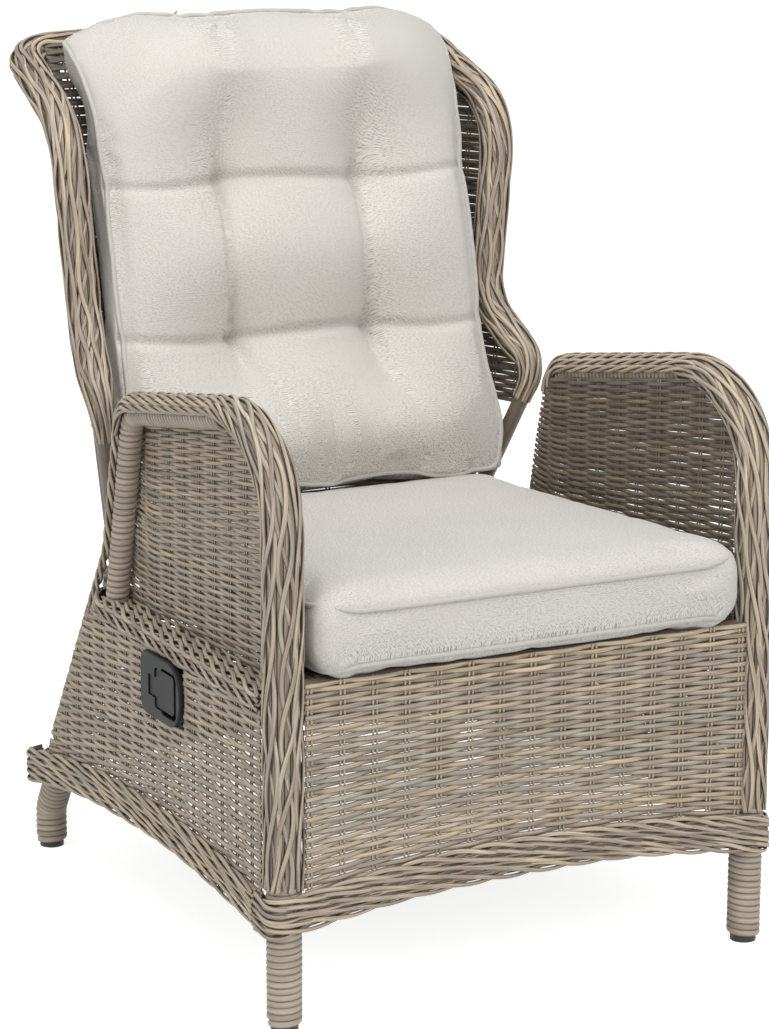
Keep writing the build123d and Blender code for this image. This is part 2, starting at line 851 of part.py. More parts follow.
def back_panel():
    """Woven back skin, rolled back at the top and narrower below the arms."""
    with BuildPart() as panel:
        extrude(panel_face(0), amount=panel_half_width, both=True)
        for side in (1, -1):
            with BuildSketch(Plane.XZ) as wedge:
                with BuildLine():
                    Polyline((side * panel_low_half_width, 0), (side * panel_low_half_width, panel_low),
                             (side * panel_half_width, panel_taper_top), (side * 2 * panel_half_width, 0),
                             close=True)
                make_face()
            extrude(wedge.sketch, amount=2 * roll_start, both=True, mode=Mode.SUBTRACT)
        add(back_edge(edge_tube / 2 + seat_gap, 0).part, mode=Mode.SUBTRACT)
    return panel


def wing():
    """Woven wing between the back panel and the band on its front edge."""
    hinge = on_lean(panel_low, -panel_offset)
    normal = Vector(1, wing_flare, -wing_flare * lean)
    plane = Plane(wing_point(hinge.Y, panel_low), x_dir=(-wing_flare, 1, 0), z_dir=normal)
    start, middle, end = lean_line(-panel_offset)[1:]
    outline = [wing_point(meet_height(wing_low), wing_low), wing_point(tip_y, tip_height),
               wing_point(shoulder_y, shoulder_height), wing_point(shoulder_y, crook_height)]
    top = wing_point(end.Y, end.Z)
    with BuildSketch() as face:
        with BuildLine():
            local = [plane.to_local_coords(p) for p in outline + [top]]
            Polyline(*[(p.X, p.Y) for p in local])
            arc = [plane.to_local_coords(wing_point(p.Y, p.Z)) for p in (end, middle, start)]
            ThreePointArc(*[(p.X, p.Y) for p in arc])
            Line((arc[2].X, arc[2].Y), (local[0].X, local[0].Y))
        make_face()
    with BuildPart() as skin:
        extrude(plane * face.sketch, amount=weave)
        add(back_edge(back_band / 2 + seat_gap, 0).part, mode=Mode.SUBTRACT)
        extrude(panel_face(seat_gap), amount=2 * panel_half_width, both=True, mode=Mode.SUBTRACT)
    return skin


def meet_height(height):
    """Y of the back panel's front face at a height on its straight part."""
    spot = on_lean(height, -panel_offset)
    return spot.Y + (height - spot.Z) * lean


def rounded(plane, half_width, half_length, corner):
    """A rounded rectangle sketch on a plane."""
    with BuildSketch(plane) as face:
        RectangleRounded(2 * half_width, 2 * half_length, corner)
    return face.sketch


def seat_cushion():
    """Box cushion with drawn-in sides at its seams and a crowned top."""
    long = (seat_back_y - seat_front_y) / cos(radians(seat_slope))
    middle = (seat_back_y + seat_front_y) / 2
    drop = (middle - seat_rear_rail_y) * seat_rise
    centre = Vector(0, middle, seat_rear_rail_height - drop)
    base = Plane(centre, x_dir=(1, 0, 0), z_dir=deck_plane.z_dir)
    base = base.offset(rail_tube / 2 + deck_thickness + cushion_gap)
    height_shares = (0, 0.1, 0.3, 0.7, 0.9, 1)
    draw_shares = (0.5, 0.15, 0, 0, 0.15, 0.5)
    crown_shares = (0.35, 0.65, 0.9, 1)
    crown_inset_shares = (0.06, 0.2, 0.45, 0.75)
    rows = [(high * seat_thickness, draw * seat_corner) for high, draw in zip(height_shares, draw_shares)]
    rows += [(seat_thickness + high * seat_crown, inset * seat_half_width)
             for high, inset in zip(crown_shares, crown_inset_shares)]
    with BuildPart() as cushion:
        loft([rounded(base.offset(up), seat_half_width - inset, long / 2 - inset, seat_corner)
              for up, inset in rows], ruled=True)
    return cushion


# Each row of the back cushion, as shares: height up its back, turn of the row, width, and the depths
# at the middle crown, the tuft columns and the side seams.
cushion_turn = 60
row_height_shares = (0, 0.05, 0.18, 0.36, 0.54, 0.73, 0.86, 0.95, 1)
row_turn_shares = (0, 0.1, 0.22, 0.25, 0.25, 0.25, 0.42, 0.72, 1)
row_width_shares = (1, 1.015, 1.015, 1.01, 1, 1, 1, 1.015, 1.02)
row_crown_shares = (0.66, 0.74, 0.8, 0.66, 0.88, 0.8, 0.96, 0.96, 0.82)
row_tuft_shares = (0.63, 0.7, 0.72, 0.42, 0.74, 0.5, 0.86, 0.88, 0.72)
row_seam_shares = (0.58, 0.62, 0.62, 0.58, 0.62, 0.62, 0.64, 0.58, 0.46)
tuft_share = 0.36


def cushion_spine(height):
    """The point behind the cushion at a height: on the panel, then following its roll."""
    behind = -panel_offset - cushion_gap
    start = on_lean(roll_start, behind)
    if height <= start.Z:
        return on_lean(height, behind)
    radius = roll_radius - behind
    centre = start + lean_behind * radius
    rise = height - centre.Z
    return Vector(0, centre.Y - sqrt(radius ** 2 - rise ** 2), height)


def cushion_row(high, turn, width, crown, tuft, seam):
    """One closed outline of the back cushion: straight behind, three crowned columns in front."""
    height = back_cushion_low + high * (back_cushion_top - back_cushion_low)
    turned = radians(turn * cushion_turn)
    forward = Vector(0, -cos(turned), sin(turned))
    half = width * back_half_width
    column = tuft_share * half
    side_crown = max((crown + seam) / 2, tuft) * back_depth + back_bulge / 2
    right_seam, left_seam = (half, seam * back_depth), (-half, seam * back_depth)
    right_tuft, left_tuft = (column, tuft * back_depth), (-column, tuft * back_depth)
    behind = half - back_inset
    bulge = (half + behind) / 2 + back_bulge
    level = Plane(cushion_spine(height), x_dir=(1, 0, 0), z_dir=Vector(1, 0, 0).cross(forward))
    with BuildSketch(level) as row:
        with BuildLine():
            Line((-behind, 0), (behind, 0))
            ThreePointArc((behind, 0), (bulge, seam * back_depth / 2), right_seam)
            ThreePointArc(right_seam, ((half + column) / 2, side_crown), right_tuft)
            ThreePointArc(right_tuft, (0, crown * back_depth), left_tuft)
            ThreePointArc(left_tuft, (-(half + column) / 2, side_crown), left_seam)
            ThreePointArc(left_seam, (-bulge, seam * back_depth / 2), (-behind, 0))
        make_face()
    return row.sketch


def back_cushion():
    """Tufted cushion lofted up the backrest, drawn in along two rows of tufts."""
    rows = zip(row_height_shares, row_turn_shares, row_width_shares, row_crown_shares, row_tuft_shares,
               row_seam_shares)
    with BuildPart() as cushion:
        loft([cushion_row(*row) for row in rows])
    return cushion


def pivot_plate():
    """Plate welded on the rear seat rail, with the backrest's pivot hole."""
    with BuildPart() as plate:
        with BuildSketch(Plane.YZ.offset(plate_x)) as outline:
            with Locations((seat_rear_rail_y, seat_rear_rail_height)):
                Circle(plate_round)
            with Locations((pivot_y, pivot_height)):
                Circle(plate_round)
            make_hull()
            with Locations((seat_rear_rail_y, seat_rear_rail_height)):
                Circle(rail_tube / 2 + weld_gap, mode=Mode.SUBTRACT)
            with Locations((pivot_y, pivot_height)):
                Circle(bolt / 2 + bolt_fit, mode=Mode.SUBTRACT)
        extrude(outline.sketch, amount=plate_thickness)
    return plate


def pivot_bolt():
    """Bolt through the plate and the upright."""
    head = Vector(plate_x + plate_thickness + seat_gap, pivot_y, pivot_height)
    end = Vector(upright_x - upright_tube / 2 - bolt_head_height - 2 * seat_gap, pivot_y, pivot_height)
    with BuildPart() as screw:
        bar(head, head + Vector(bolt_head_height, 0, 0), bolt_head / 2)
        bar(end, head, bolt / 2)
    return screw


def pivot_nut():
    """Nut on the bolt's inner end."""
    face = upright_x - upright_tube / 2 - seat_gap
    with BuildPart() as nut:
        with BuildSketch(Plane((face, pivot_y, pivot_height), x_dir=(0, 1, 0), z_dir=(-1, 0, 0))):
            RegularPolygon(bolt_head / 2, 6)
            Circle(bolt / 2 + bolt_fit, mode=Mode.SUBTRACT)
        extrude(amount=bolt_head_height)
    return nut


spring_front = Vector(0, spring_rail_y, outer_rail_height - spring_front_drop)
spring_rear = cross_middle + Vector(0, spring_pin_back, -spring_pin_drop)
spring_way = (spring_rear - spring_front).normalized()
eye_half = Vector(eye_width / 2, 0, 0)
cheek_x = eye_width / 2 + cheek_gap


def cheeks(tube_at, tube_radius, pin_at, half_gap):
    """Two plates from a cross tube to a pin, one each side of the gas spring."""
    with BuildPart() as plates:
        for side in (1, -1):
            with BuildSketch(Plane.YZ.offset(side * half_gap)) as outline:
                with Locations((tube_at.Y, tube_at.Z)):
                    Circle(cheek_round)
                with Locations((pin_at.Y, pin_at.Z)):
                    Circle(cheek_round)
                make_hull()
                with Locations((tube_at.Y, tube_at.Z)):
                    Circle(tube_radius + weld_gap, mode=Mode.SUBTRACT)
                with Locations((pin_at.Y, pin_at.Z)):
                    Circle(spring_pin / 2 + bolt_fit, mode=Mode.SUBTRACT)
            extrude(outline.sketch, amount=side * cheek_thickness)
    return plates


def spring_bracket():
    """Two plates under the spring rail that hold the front pin."""
    return cheeks(Vector(0, spring_rail_y, outer_rail_height), rail_tube / 2, spring_front,
                  head_width / 2 + cheek_gap)


def back_bracket():
    """Two plates under the back cross tube that hold the rear pin."""
    return cheeks(cross_middle, cross_tube / 2, spring_rear, cheek_x)


def pin(at, half):
    """Round pin across the chair through a pair of plates."""
    with BuildPart() as rod:
        bar(at - Vector(half, 0, 0), at + Vector(half, 0, 0), spring_pin / 2)
    return rod


def gas_rod():
    """Piston rod from the release head into the cylinder."""
    start = spring_front + spring_way * (head_length / 2 + seat_gap)
    with BuildPart() as rod:
        bar(start, spring_front + spring_way * (cylinder_front + rod_inside), spring_rod / 2)
    return rod


def release_head():
    """Block on the rod's end with the pin bore and the port where the cable goes in."""
    start = spring_front - spring_way * (head_length / 2)
    with BuildPart() as head:
        with BuildSketch(Plane(start, x_dir=(1, 0, 0), z_dir=spring_way)) as face:
            RectangleRounded(head_width, head_width, spring_wall)
        extrude(face.sketch, amount=head_length)
        across = Vector(head_width, 0, 0)
        bar(spring_front - across, spring_front + across, spring_pin / 2 + bolt_fit, mode=Mode.SUBTRACT)
        bar(start, start + spring_way * (head_length / 4), cable_bore / 2, mode=Mode.SUBTRACT)
    return head


def gas_cylinder():
    """Pressure tube with a guide at the front and an eye at the rear."""
    start = spring_front + spring_way * cylinder_front
    end = start + spring_way * cylinder_length
    eye = spring_rear
    with BuildPart() as cylinder:
        bar(start, end, spring_cylinder / 2)
        bar(start + spring_way * (3 * spring_wall), end - spring_way * (3 * spring_wall),
            spring_cylinder / 2 - spring_wall, mode=Mode.SUBTRACT)
        bar(start, start + spring_way * (4 * spring_wall), spring_rod / 2 + spring_fit, mode=Mode.SUBTRACT)
        bar(end, eye, spring_rod / 2)
        bar(eye - eye_half, eye + eye_half, eye_outer / 2)
        bar(eye - eye_half, eye + eye_half, spring_pin / 2 + eye_slack, mode=Mode.SUBTRACT)
    return cylinder


# The lever sits in the right side. It is built on the left and mirrored.
bezel_s = run_of(bezel_y)
panel_face_out = leg_tube / 2 + seat_gap + weave
bezel_front = panel_face_out + seat_gap + bezel_proud
floor_out = panel_face_out - bezel_body_depth
bar_front_s = bezel_s - bezel_length / 2 + 2 * bezel_rim + paddle_gap
stem_end_s = bar_front_s + paddle_bar_length + paddle_stem_length
hinge_s = stem_end_s - paddle_pin


def bezel_body_face(grow):
    """Outline of the housing that goes through the woven side, in the side plane."""
    half_height = bezel_depth / 2 - bezel_rim
    front = bezel_s - bezel_length / 2 + bezel_rim
    with BuildSketch() as face:
        with Locations(((front + stem_end_s + bezel_rim) / 2, bezel_height)):
            RectangleRounded(stem_end_s + bezel_rim - front + 2 * grow, 2 * half_height + 2 * grow,
                             bezel_rear_radius)
    return face.sketch


def paddle_face(grow):
    """T outline of the paddle, in the side plane."""
    with BuildSketch() as face:
        with Locations((bar_front_s + paddle_bar_length / 2, bezel_height)):
            RectangleRounded(paddle_bar_length + 2 * grow, paddle_bar_height + 2 * grow, paddle_round)
        with Locations((stem_end_s - paddle_stem_length, bezel_height)):
            Rectangle(2 * paddle_stem_length + 2 * grow, paddle_stem_height + 2 * grow)
    return face.sketch


def lever_bezel():
    """Rounded housing with the recess that the fingers reach into."""
    with BuildSketch() as plate:
        with Locations((bezel_s, bezel_height)):
            Rectangle(bezel_length, bezel_depth)
        fillet(plate.vertices().group_by(Axis.X)[0], bezel_front_radius)
        fillet(plate.vertices().group_by(Axis.X)[-1], bezel_rear_radius)
    with BuildSketch() as recess:
        add(paddle_face(paddle_gap))
        with Locations((bar_front_s + paddle_bar_length / 4, bezel_height)):
            RectangleRounded(paddle_bar_length / 2 + 2 * bezel_rim + 2 * paddle_gap,
                             paddle_bar_height + bezel_rim, bezel_rim)
    with BuildPart() as bezel:
        extrude(side_plane.offset(panel_face_out + seat_gap) * plate.sketch, amount=bezel_proud)
        fillet(bezel.edges().filter_by(lambda e: abs(side_plane.to_local_coords(e.center()).Z - bezel_front)
                                       < bezel_proud / 10), bezel_proud / 3)
        body_depth = bezel_front - bezel_proud - floor_out
        extrude(side_plane.offset(floor_out) * bezel_body_face(0), amount=body_depth)
        extrude(side_plane.offset(floor_out + recess_floor) * recess.sketch, amount=bezel_front - floor_out,
                mode=Mode.SUBTRACT)
        low = side_point(hinge_s, bezel_height - paddle_stem_height, paddle_out)
        high = side_point(hinge_s, bezel_height + paddle_stem_height, paddle_out)
        bar(low, high, paddle_pin / 2, mode=Mode.SUBTRACT)
        gland = side_point(bezel_s, bezel_height, floor_out)
        inward = side_point(bezel_s, bezel_height, floor_out - cable_gland_length)
        bar(gland, inward, cable_gland / 2)
        bar(gland, inward, cable_bore / 2, mode=Mode.SUBTRACT)
    return bezel


paddle_out = bezel_front - paddle_thickness / 2 - bezel_proud / 4


def lever_paddle():
    """T paddle that swings out about the pin through its stem."""
    with BuildPart() as paddle:
        inner_face = side_plane.offset(paddle_out - paddle_thickness / 2)
        extrude(inner_face * paddle_face(0), amount=paddle_thickness)
        low = side_point(hinge_s, bezel_height - paddle_stem_height, paddle_out)
        high = side_point(hinge_s, bezel_height + paddle_stem_height, paddle_out)
        bar(low, high, paddle_pin / 2 + bolt_fit, mode=Mode.SUBTRACT)
    return paddle


def lever_pin():
    """Hinge pin of the paddle, held in the housing."""
    with BuildPart() as rod:
        reach = paddle_stem_height - seat_gap
        low = side_point(hinge_s, bezel_height - reach, paddle_out)
        high = side_point(hinge_s, bezel_height + reach, paddle_out)
        bar(low, high, paddle_pin / 2 - weld_gap)
    return rod


def lever_screws():
    """Two bright screws in the floor of the recess, in front of the paddle."""
    with BuildPart() as screws:
        for side in (1, -1):
            spot = (bar_front_s - paddle_gap - lever_screw_head / 2, bezel_height + side * lever_screw_head)
            floor = floor_out + recess_floor + weld_gap
            top = side_point(*spot, floor + lever_screw_height)
            bar(side_point(*spot, floor), top, lever_screw_head / 2)
    return screws


def mirrored(piece):
    """The mirror image of a piece, for the right side alone."""
    with BuildPart() as twin:
        mirror(piece.part, about=Plane.YZ)
    return twin


keep_pair(front_leg(), "front_leg")
keep_pair(rear_leg(), "rear_leg")
keep(foot_glides(), "foot_glides")
keep_pair(arm_frame(), "arm_tube")
keep(both(arm_collar()), "arm_collars")
keep_pair(side_rail(), "side_rail")
keep(cross_rail(front_leg_y, front_rail_height, rail_tube, rail_wall, front_leg_x), "front_rail")
keep(cross_rail(seat_rear_rail_y, seat_rear_rail_height, rail_tube, rail_wall, rear_leg_x), "rear_rail")
keep(cross_rail(spring_rail_y, outer_rail_height, rail_tube, rail_wall,
                side_point(run_of(spring_rail_y), 0).X, outer_rail_ends()), "spring_rail")
keep(seat_deck(), "seat_deck")
keep(hem_rods(), "hem_rods")
keep(front_panel(), "front_panel")
keep(side_panel(False), "side_panel_left")
keep(mirrored(side_panel(True)), "side_panel_right")
keep(rear_panel(), "rear_panel")
keep(front_hem(), "front_hem")
keep_pair(side_hem(), "side_hem")
keep(rear_hem(), "rear_hem")
keep_pair(ledge(), "ledge")
keep_pair(arm_panel(), "arm_panel")
keep_pair(front_band(), "front_band")
keep_pair(arm_cap(), "arm_cap")
keep_pair(edge_braid(), "edge_braid")
keep(front_leg_windings(), "front_leg_windings")
keep(rear_leg_windings(), "rear_leg_windings")
keep(arm_windings(), "arm_windings")
keep(both(pivot_plate()), "pivot_plates")
keep(both(pivot_bolt()), "pivot_bolts")
keep(both(pivot_nut()), "pivot_nuts")
keep(spring_bracket(), "spring_bracket")
keep(pin(spring_front, head_width / 2 + cheek_gap + 2 * cheek_thickness), "spring_pin_front")
keep(mirrored(lever_bezel()), "lever_bezel")
keep(mirrored(lever_pin()), "lever_pin")
keep(mirrored(lever_screws()), "lever_screws")
keep(seat_cushion(), "seat_cushion")
keep_pair(upright(), "upright")
keep(back_cross_tube(), "back_cross_tube")
keep(back_edge_tube(), "back_edge_tube")
keep(back_edge_band(), "back_edge_band")
keep(back_panel(), "back_panel")
keep_pair(wing(), "wing")
keep(back_cushion(), "back_cushion")
keep(back_bracket(), "back_bracket")
keep(pin(spring_rear, cheek_x + 2 * cheek_thickness), "spring_pin_rear")
keep(gas_rod(), "gas_rod")
keep(release_head(), "release_head")
keep(gas_cylinder(), "gas_cylinder")
keep(mirrored(lever_paddle()), "lever_paddle")
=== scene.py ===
"""Looks of the reclining garden armchair: woven and braided strand, two cushions, lever, plain studio."""

import json

import bpy
import numpy as np
from mathutils import Matrix, Vector
from mathutils.bvhtree import BVHTree


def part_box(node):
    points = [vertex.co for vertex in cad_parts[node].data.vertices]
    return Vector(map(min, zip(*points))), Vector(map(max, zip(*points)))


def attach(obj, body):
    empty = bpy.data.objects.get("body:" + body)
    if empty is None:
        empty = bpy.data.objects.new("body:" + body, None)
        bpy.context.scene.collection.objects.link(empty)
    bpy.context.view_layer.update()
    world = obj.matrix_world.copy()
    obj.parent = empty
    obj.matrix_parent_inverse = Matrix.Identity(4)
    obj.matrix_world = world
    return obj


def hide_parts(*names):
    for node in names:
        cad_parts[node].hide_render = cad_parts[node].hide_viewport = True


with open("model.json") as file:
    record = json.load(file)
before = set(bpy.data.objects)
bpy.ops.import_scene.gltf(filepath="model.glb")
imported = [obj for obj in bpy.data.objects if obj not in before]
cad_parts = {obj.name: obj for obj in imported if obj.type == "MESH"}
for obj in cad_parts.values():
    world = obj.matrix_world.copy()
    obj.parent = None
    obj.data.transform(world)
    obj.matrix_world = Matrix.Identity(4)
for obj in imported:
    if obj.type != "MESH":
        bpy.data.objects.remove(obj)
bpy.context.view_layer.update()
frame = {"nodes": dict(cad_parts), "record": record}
node = frame["nodes"]

# ---------------------------------------------------------------- Camera
# The photograph was taken from the chair's right front, a little above the arms.


def add_object(name, data):
    """A new object in the scene, at the origin and unscaled."""
    thing = bpy.data.objects.new(name, data)
    bpy.context.scene.collection.objects.link(thing)
    return thing


eye_place = (-1.6853, -3.1681, 1.2568)
eye_round, eye_above, eye_roll = np.radians([-28.2229, 12.4425, 0.1204])
eye_back = np.array([np.sin(eye_round) * np.cos(eye_above), -np.cos(eye_round) * np.cos(eye_above),
                     np.sin(eye_above)])
eye_level = np.array([np.cos(eye_round), np.sin(eye_round), 0])
eye_rise = np.cross(eye_back, eye_level)
eye_right = np.cos(eye_roll) * eye_level + np.sin(eye_roll) * eye_rise
eye_up = np.cos(eye_roll) * eye_rise - np.sin(eye_roll) * eye_level
eye = bpy.data.cameras.new("camera")
eye.sensor_fit = "VERTICAL"
eye.sensor_height = 36
eye.lens = 108.35
eye.shift_x = 0.0040
eye.shift_y = -0.0018
eye.clip_end = 200
camera = add_object("camera", eye)
turned = np.eye(4)
turned[:3, :3] = np.stack([eye_right, eye_up, eye_back], axis=1)
turned[:3, 3] = eye_place
camera.matrix_world = Matrix(turned.tolist())
bpy.context.scene.camera = camera
bpy.context.scene.view_settings.view_transform = "Standard"

# ---------------------------------------------------------------- Floor and light
# A wide pale floor under soft lamps and a pale sky, so that the object stands on white with a
# faint shadow. A little glow that only the camera sees lifts the floor to white.


def add_node(tree, kind, inputs, **settings):
    """Outputs of a new shader node, whose inputs are joined to sockets or set to plain values."""
    made = tree.nodes.new("ShaderNode" + kind)
    for name, value in settings.items():
        setattr(made, name, value)
    for place, value in inputs.items():
        if isinstance(value, bpy.types.NodeSocket):
            tree.links.new(value, made.inputs[place])
        else:
            made.inputs[place].default_value = value
    return made.outputs


def reckon(tree, operation, *values, kind="Math"):
    """Output of a maths node over sockets or plain values."""
    return add_node(tree, kind, dict(enumerate(values)), operation=operation)[0]


def carry_over(tree, value, old, new, **settings):
    """Output of a node that carries the old range of a value over to a new range."""
    ends = {"From Min": old[0], "From Max": old[1], "To Min": new[0], "To Max": new[1], "Value": value}
    return add_node(tree, "MapRange", ends, **settings)[0]


def new_material(name):
    """An empty node material: returns it with its node tree and its principled shader."""
    stuff = bpy.data.materials.new(name)
    stuff.use_nodes = True
    return stuff, stuff.node_tree, stuff.node_tree.nodes["Principled BSDF"]


def seen_or_mirrored(tree):
    """1 for what the camera sees straight or in a gloss, and 0 for light on its way to a surface."""
    rays = add_node(tree, "LightPath", {})
    return reckon(tree, "MAXIMUM", rays["Is Camera Ray"], rays["Is Glossy Ray"])


floor_reach = 60
floor_glow = 0.78
sky_light = 0.42
floor_mesh = bpy.data.meshes.new("studio_floor")
floor_mesh.from_pydata(np.array([[-1, -1, 0], [1, -1, 0], [1, 1, 0], [-1, 1, 0]]) * floor_reach, [],
                       [(0, 1, 2, 3)])
floor = add_object("studio_floor", floor_mesh)
floor_paint, tree, shader = new_material("floor_paint")
tree.nodes.remove(shader)
chalk = add_node(tree, "BsdfDiffuse", {"Color": (0.8, 0.8, 0.8, 1)})[0]
lift = reckon(tree, "MULTIPLY", seen_or_mirrored(tree), floor_glow)
glow = add_node(tree, "Emission", {"Strength": lift})[0]
both = add_node(tree, "AddShader", {0: chalk, 1: glow})[0]
tree.links.new(both, tree.nodes["Material Output"].inputs["Surface"])
floor.data.materials.append(floor_paint)

sky = bpy.data.worlds.new("sky")
bpy.context.scene.world = sky
sky.use_nodes = True
tree = sky.node_tree
dome = tree.nodes["Background"]
dome.inputs["Color"].default_value = (1, 1, 1, 1)
tree.links.new(carry_over(tree, seen_or_mirrored(tree), (0, 1), (sky_light, 1.0)), dome.inputs["Strength"])


def lamp(name, place, aim, size, power):
    """A square soft lamp at a place, turned toward its aim."""
    light = bpy.data.lights.new(name, "AREA")
    light.size = size
    light.energy = power
    thing = add_object(name, light)
    thing.location = place
    thing.rotation_euler = (Vector(aim) - Vector(place)).to_track_quat("-Z", "Y").to_euler()


lamp("front_lamp", (-0.3, -3.8, 2.5), (0, 0, 0.5), 2.2, 64)
lamp("top_lamp", (-0.6, -0.9, 3.4), (0, 0, 0.4), 2.4, 58)
lamp("side_lamp", (-3.2, -0.9, 2.2), (0, 0, 0.5), 2.0, 20)

# ---------------------------------------------------------------- Legs and posts
# Round strand of half-round plastic cane is wound edge to edge round the feet, the rear posts and
# the arm tubes under their caps. Each turn lies against the last, with a thin dark line between that
# is partly the gap and partly painted shade on the strand's edges.

rng = np.random.default_rng(7)


def unit(v):
    """Vectors scaled to length one."""
    return v / np.linalg.norm(v, axis=-1, keepdims=True)


def path_length(path):
    """Distance gone at each sample of a path."""
    return np.concatenate([[0], np.cumsum(np.linalg.norm(np.diff(path, axis=0), axis=1))])


def read_along(path, stops):
    """Places on a path at the stops, in distance gone along it."""
    gone = path_length(path)
    return np.stack([np.interp(stops, gone, axis) for axis in path.T], axis=1)


def square_to(path):
    """Directions of a plane path, turned a quarter to its left."""
    along = unit(np.gradient(path, axis=0))
    return np.stack([-along[:, 1], along[:, 0]], axis=1)


def rounded_way(corners, radii, step):
    """Way through the corners with an arc of its radius at each inner corner, as even samples."""
    corners = np.array(corners, float)
    runs = [corners[:1]]
    share = np.linspace(0, 1, 24)[:, None]
    for before, corner, after, radius in zip(corners, corners[1:], corners[2:], radii):
        back, on = unit(before - corner), unit(after - corner)
        half = np.arccos(np.clip(back @ on, -1, 1)) / 2
        middle = corner + unit(back + on) * radius / np.sin(half)
        first = corner + back * radius / np.tan(half) - middle
        last = corner + on * radius / np.tan(half) - middle
        turn = np.pi - 2 * half
        runs.append(middle + (np.sin((1 - share) * turn) * first + np.sin(share * turn) * last)
                    / np.sin(turn))
    runs.append(corners[-1:])
    way = np.concatenate(runs)
    length = path_length(way)[-1]
    return read_along(way, np.linspace(0, length, max(int(np.ceil(length / step)), 2) + 1))


# Sections as shares of half a strand's width and half its thickness, going round it.
cane = np.array([[1, -0.3], [0.82, 0.5], [0.32, 0.95], [-0.32, 0.95], [-0.82, 0.5], [-1, -0.3],
                 [-0.5, -0.8], [0.5, -0.8]])
oval = np.array([[np.cos(a), np.sin(a)] for a in np.linspace(0, 2 * np.pi, 9)[:-1]])
flat_wrap = np.array([[1, -0.7], [0.93, 0.45], [0.5, 0.88], [0, 1], [-0.5, 0.88], [-0.93, 0.45],
                      [-1, -0.7]])


def strands(name, lines, outward, width, thick, section, tones=None):
    """Many strands as one surface: a section carried along each centre line.

    A point is centre + across * (share * width / 2) + up * (share * thick / 2), where up is the
    outward direction made square to the line, and across is square to both. The UV map holds the
    length along the strand in metres and the share of the way round, and tone differs by strand.
    """
    lines = np.asarray(lines, float)
    along = unit(np.gradient(lines, axis=1))
    across = unit(np.cross(along, np.broadcast_to(outward, lines.shape)))
    up = np.cross(across, along)
    half_width = np.broadcast_to(np.asarray(width) / 2, lines.shape[:2])[..., None, None]
    half_thick = np.broadcast_to(np.asarray(thick) / 2, lines.shape[:2])[..., None, None]
    rings = (lines[:, :, None] + across[:, :, None] * section[:, :1] * half_width
             + up[:, :, None] * section[:, 1:] * half_thick)
    count, length, sides = rings.shape[:3]
    index = np.arange(count * length * sides).reshape(count, length, sides)
    beside = np.roll(index, -1, axis=2)
    quads = np.stack([index[:, :-1], index[:, 1:], beside[:, 1:], beside[:, :-1]], axis=-1)
    caps = np.concatenate([index[:, 0], index[:, -1, ::-1]])
    corners = np.concatenate([quads.ravel(), caps.ravel()])
    starts = np.concatenate([np.arange(quads.size // 4) * 4,
                             quads.size + np.arange(len(caps)) * sides])
    mesh = bpy.data.meshes.new(name)
    mesh.vertices.add(rings.size // 3)
    mesh.vertices.foreach_set("co", rings.ravel())
    mesh.loops.add(len(corners))
    mesh.loops.foreach_set("vertex_index", corners)
    mesh.polygons.add(len(starts))
    mesh.polygons.foreach_set("loop_start", starts)
    mesh.polygons.foreach_set("use_smooth", np.ones(len(starts), bool))
    mesh.update(calc_edges=True)
    gone = np.cumsum(np.linalg.norm(np.diff(lines, axis=1, prepend=lines[:, :1]), axis=2), axis=1)
    gone = np.broadcast_to(gone[:, :, None], rings.shape[:3])
    turn = np.broadcast_to(np.arange(sides) / sides, rings.shape[:3])
    ahead = turn + 1 / sides
    quad_turn = np.stack([turn[:, :-1], turn[:, 1:], ahead[:, 1:], ahead[:, :-1]], axis=-1)
    map_gone = np.concatenate([gone.ravel()[quads.ravel()], gone.ravel()[caps.ravel()]])
    map_turn = np.concatenate([quad_turn.ravel(), turn.ravel()[caps.ravel()]])
    layer = mesh.uv_layers.new(name="UVMap")
    layer.uv.foreach_set("vector", np.stack([map_gone, map_turn], axis=1).ravel())
    tones = rng.random(count) if tones is None else tones
    tone = mesh.attributes.new("tone", "FLOAT", "POINT")
    tone.data.foreach_set("value", np.repeat(tones, length * sides).astype(np.float32))
    return add_object(name, mesh)


def colour_ramp(tree, value, stops):
    """Colour read from (place, colour) stops at a value."""
    made = tree.nodes.new("ShaderNodeValToRGB")
    ramp = made.color_ramp
    ramp.elements.remove(ramp.elements[0])
    ramp.elements[0].position = stops[0][0]
    ramp.elements[0].color = (*stops[0][1], 1)
    for place, colour in stops[1:]:
        ramp.elements.new(place).color = (*colour, 1)
    tree.links.new(value, made.inputs["Fac"])
    return made.outputs["Color"]


def finish_shader(tree, shader, colour, height, strength, distance, **values):
    """Join a colour and a bump to the shader, and set its other inputs, named with _ for a space."""
    tree.links.new(colour, shader.inputs["Base Color"])
    bump = add_node(tree, "Bump", {"Strength": strength, "Distance": distance, "Height": height})[0]
    tree.links.new(bump, shader.inputs["Normal"])
    for name, value in values.items():
        shader.inputs[name.replace("_", " ")].default_value = value


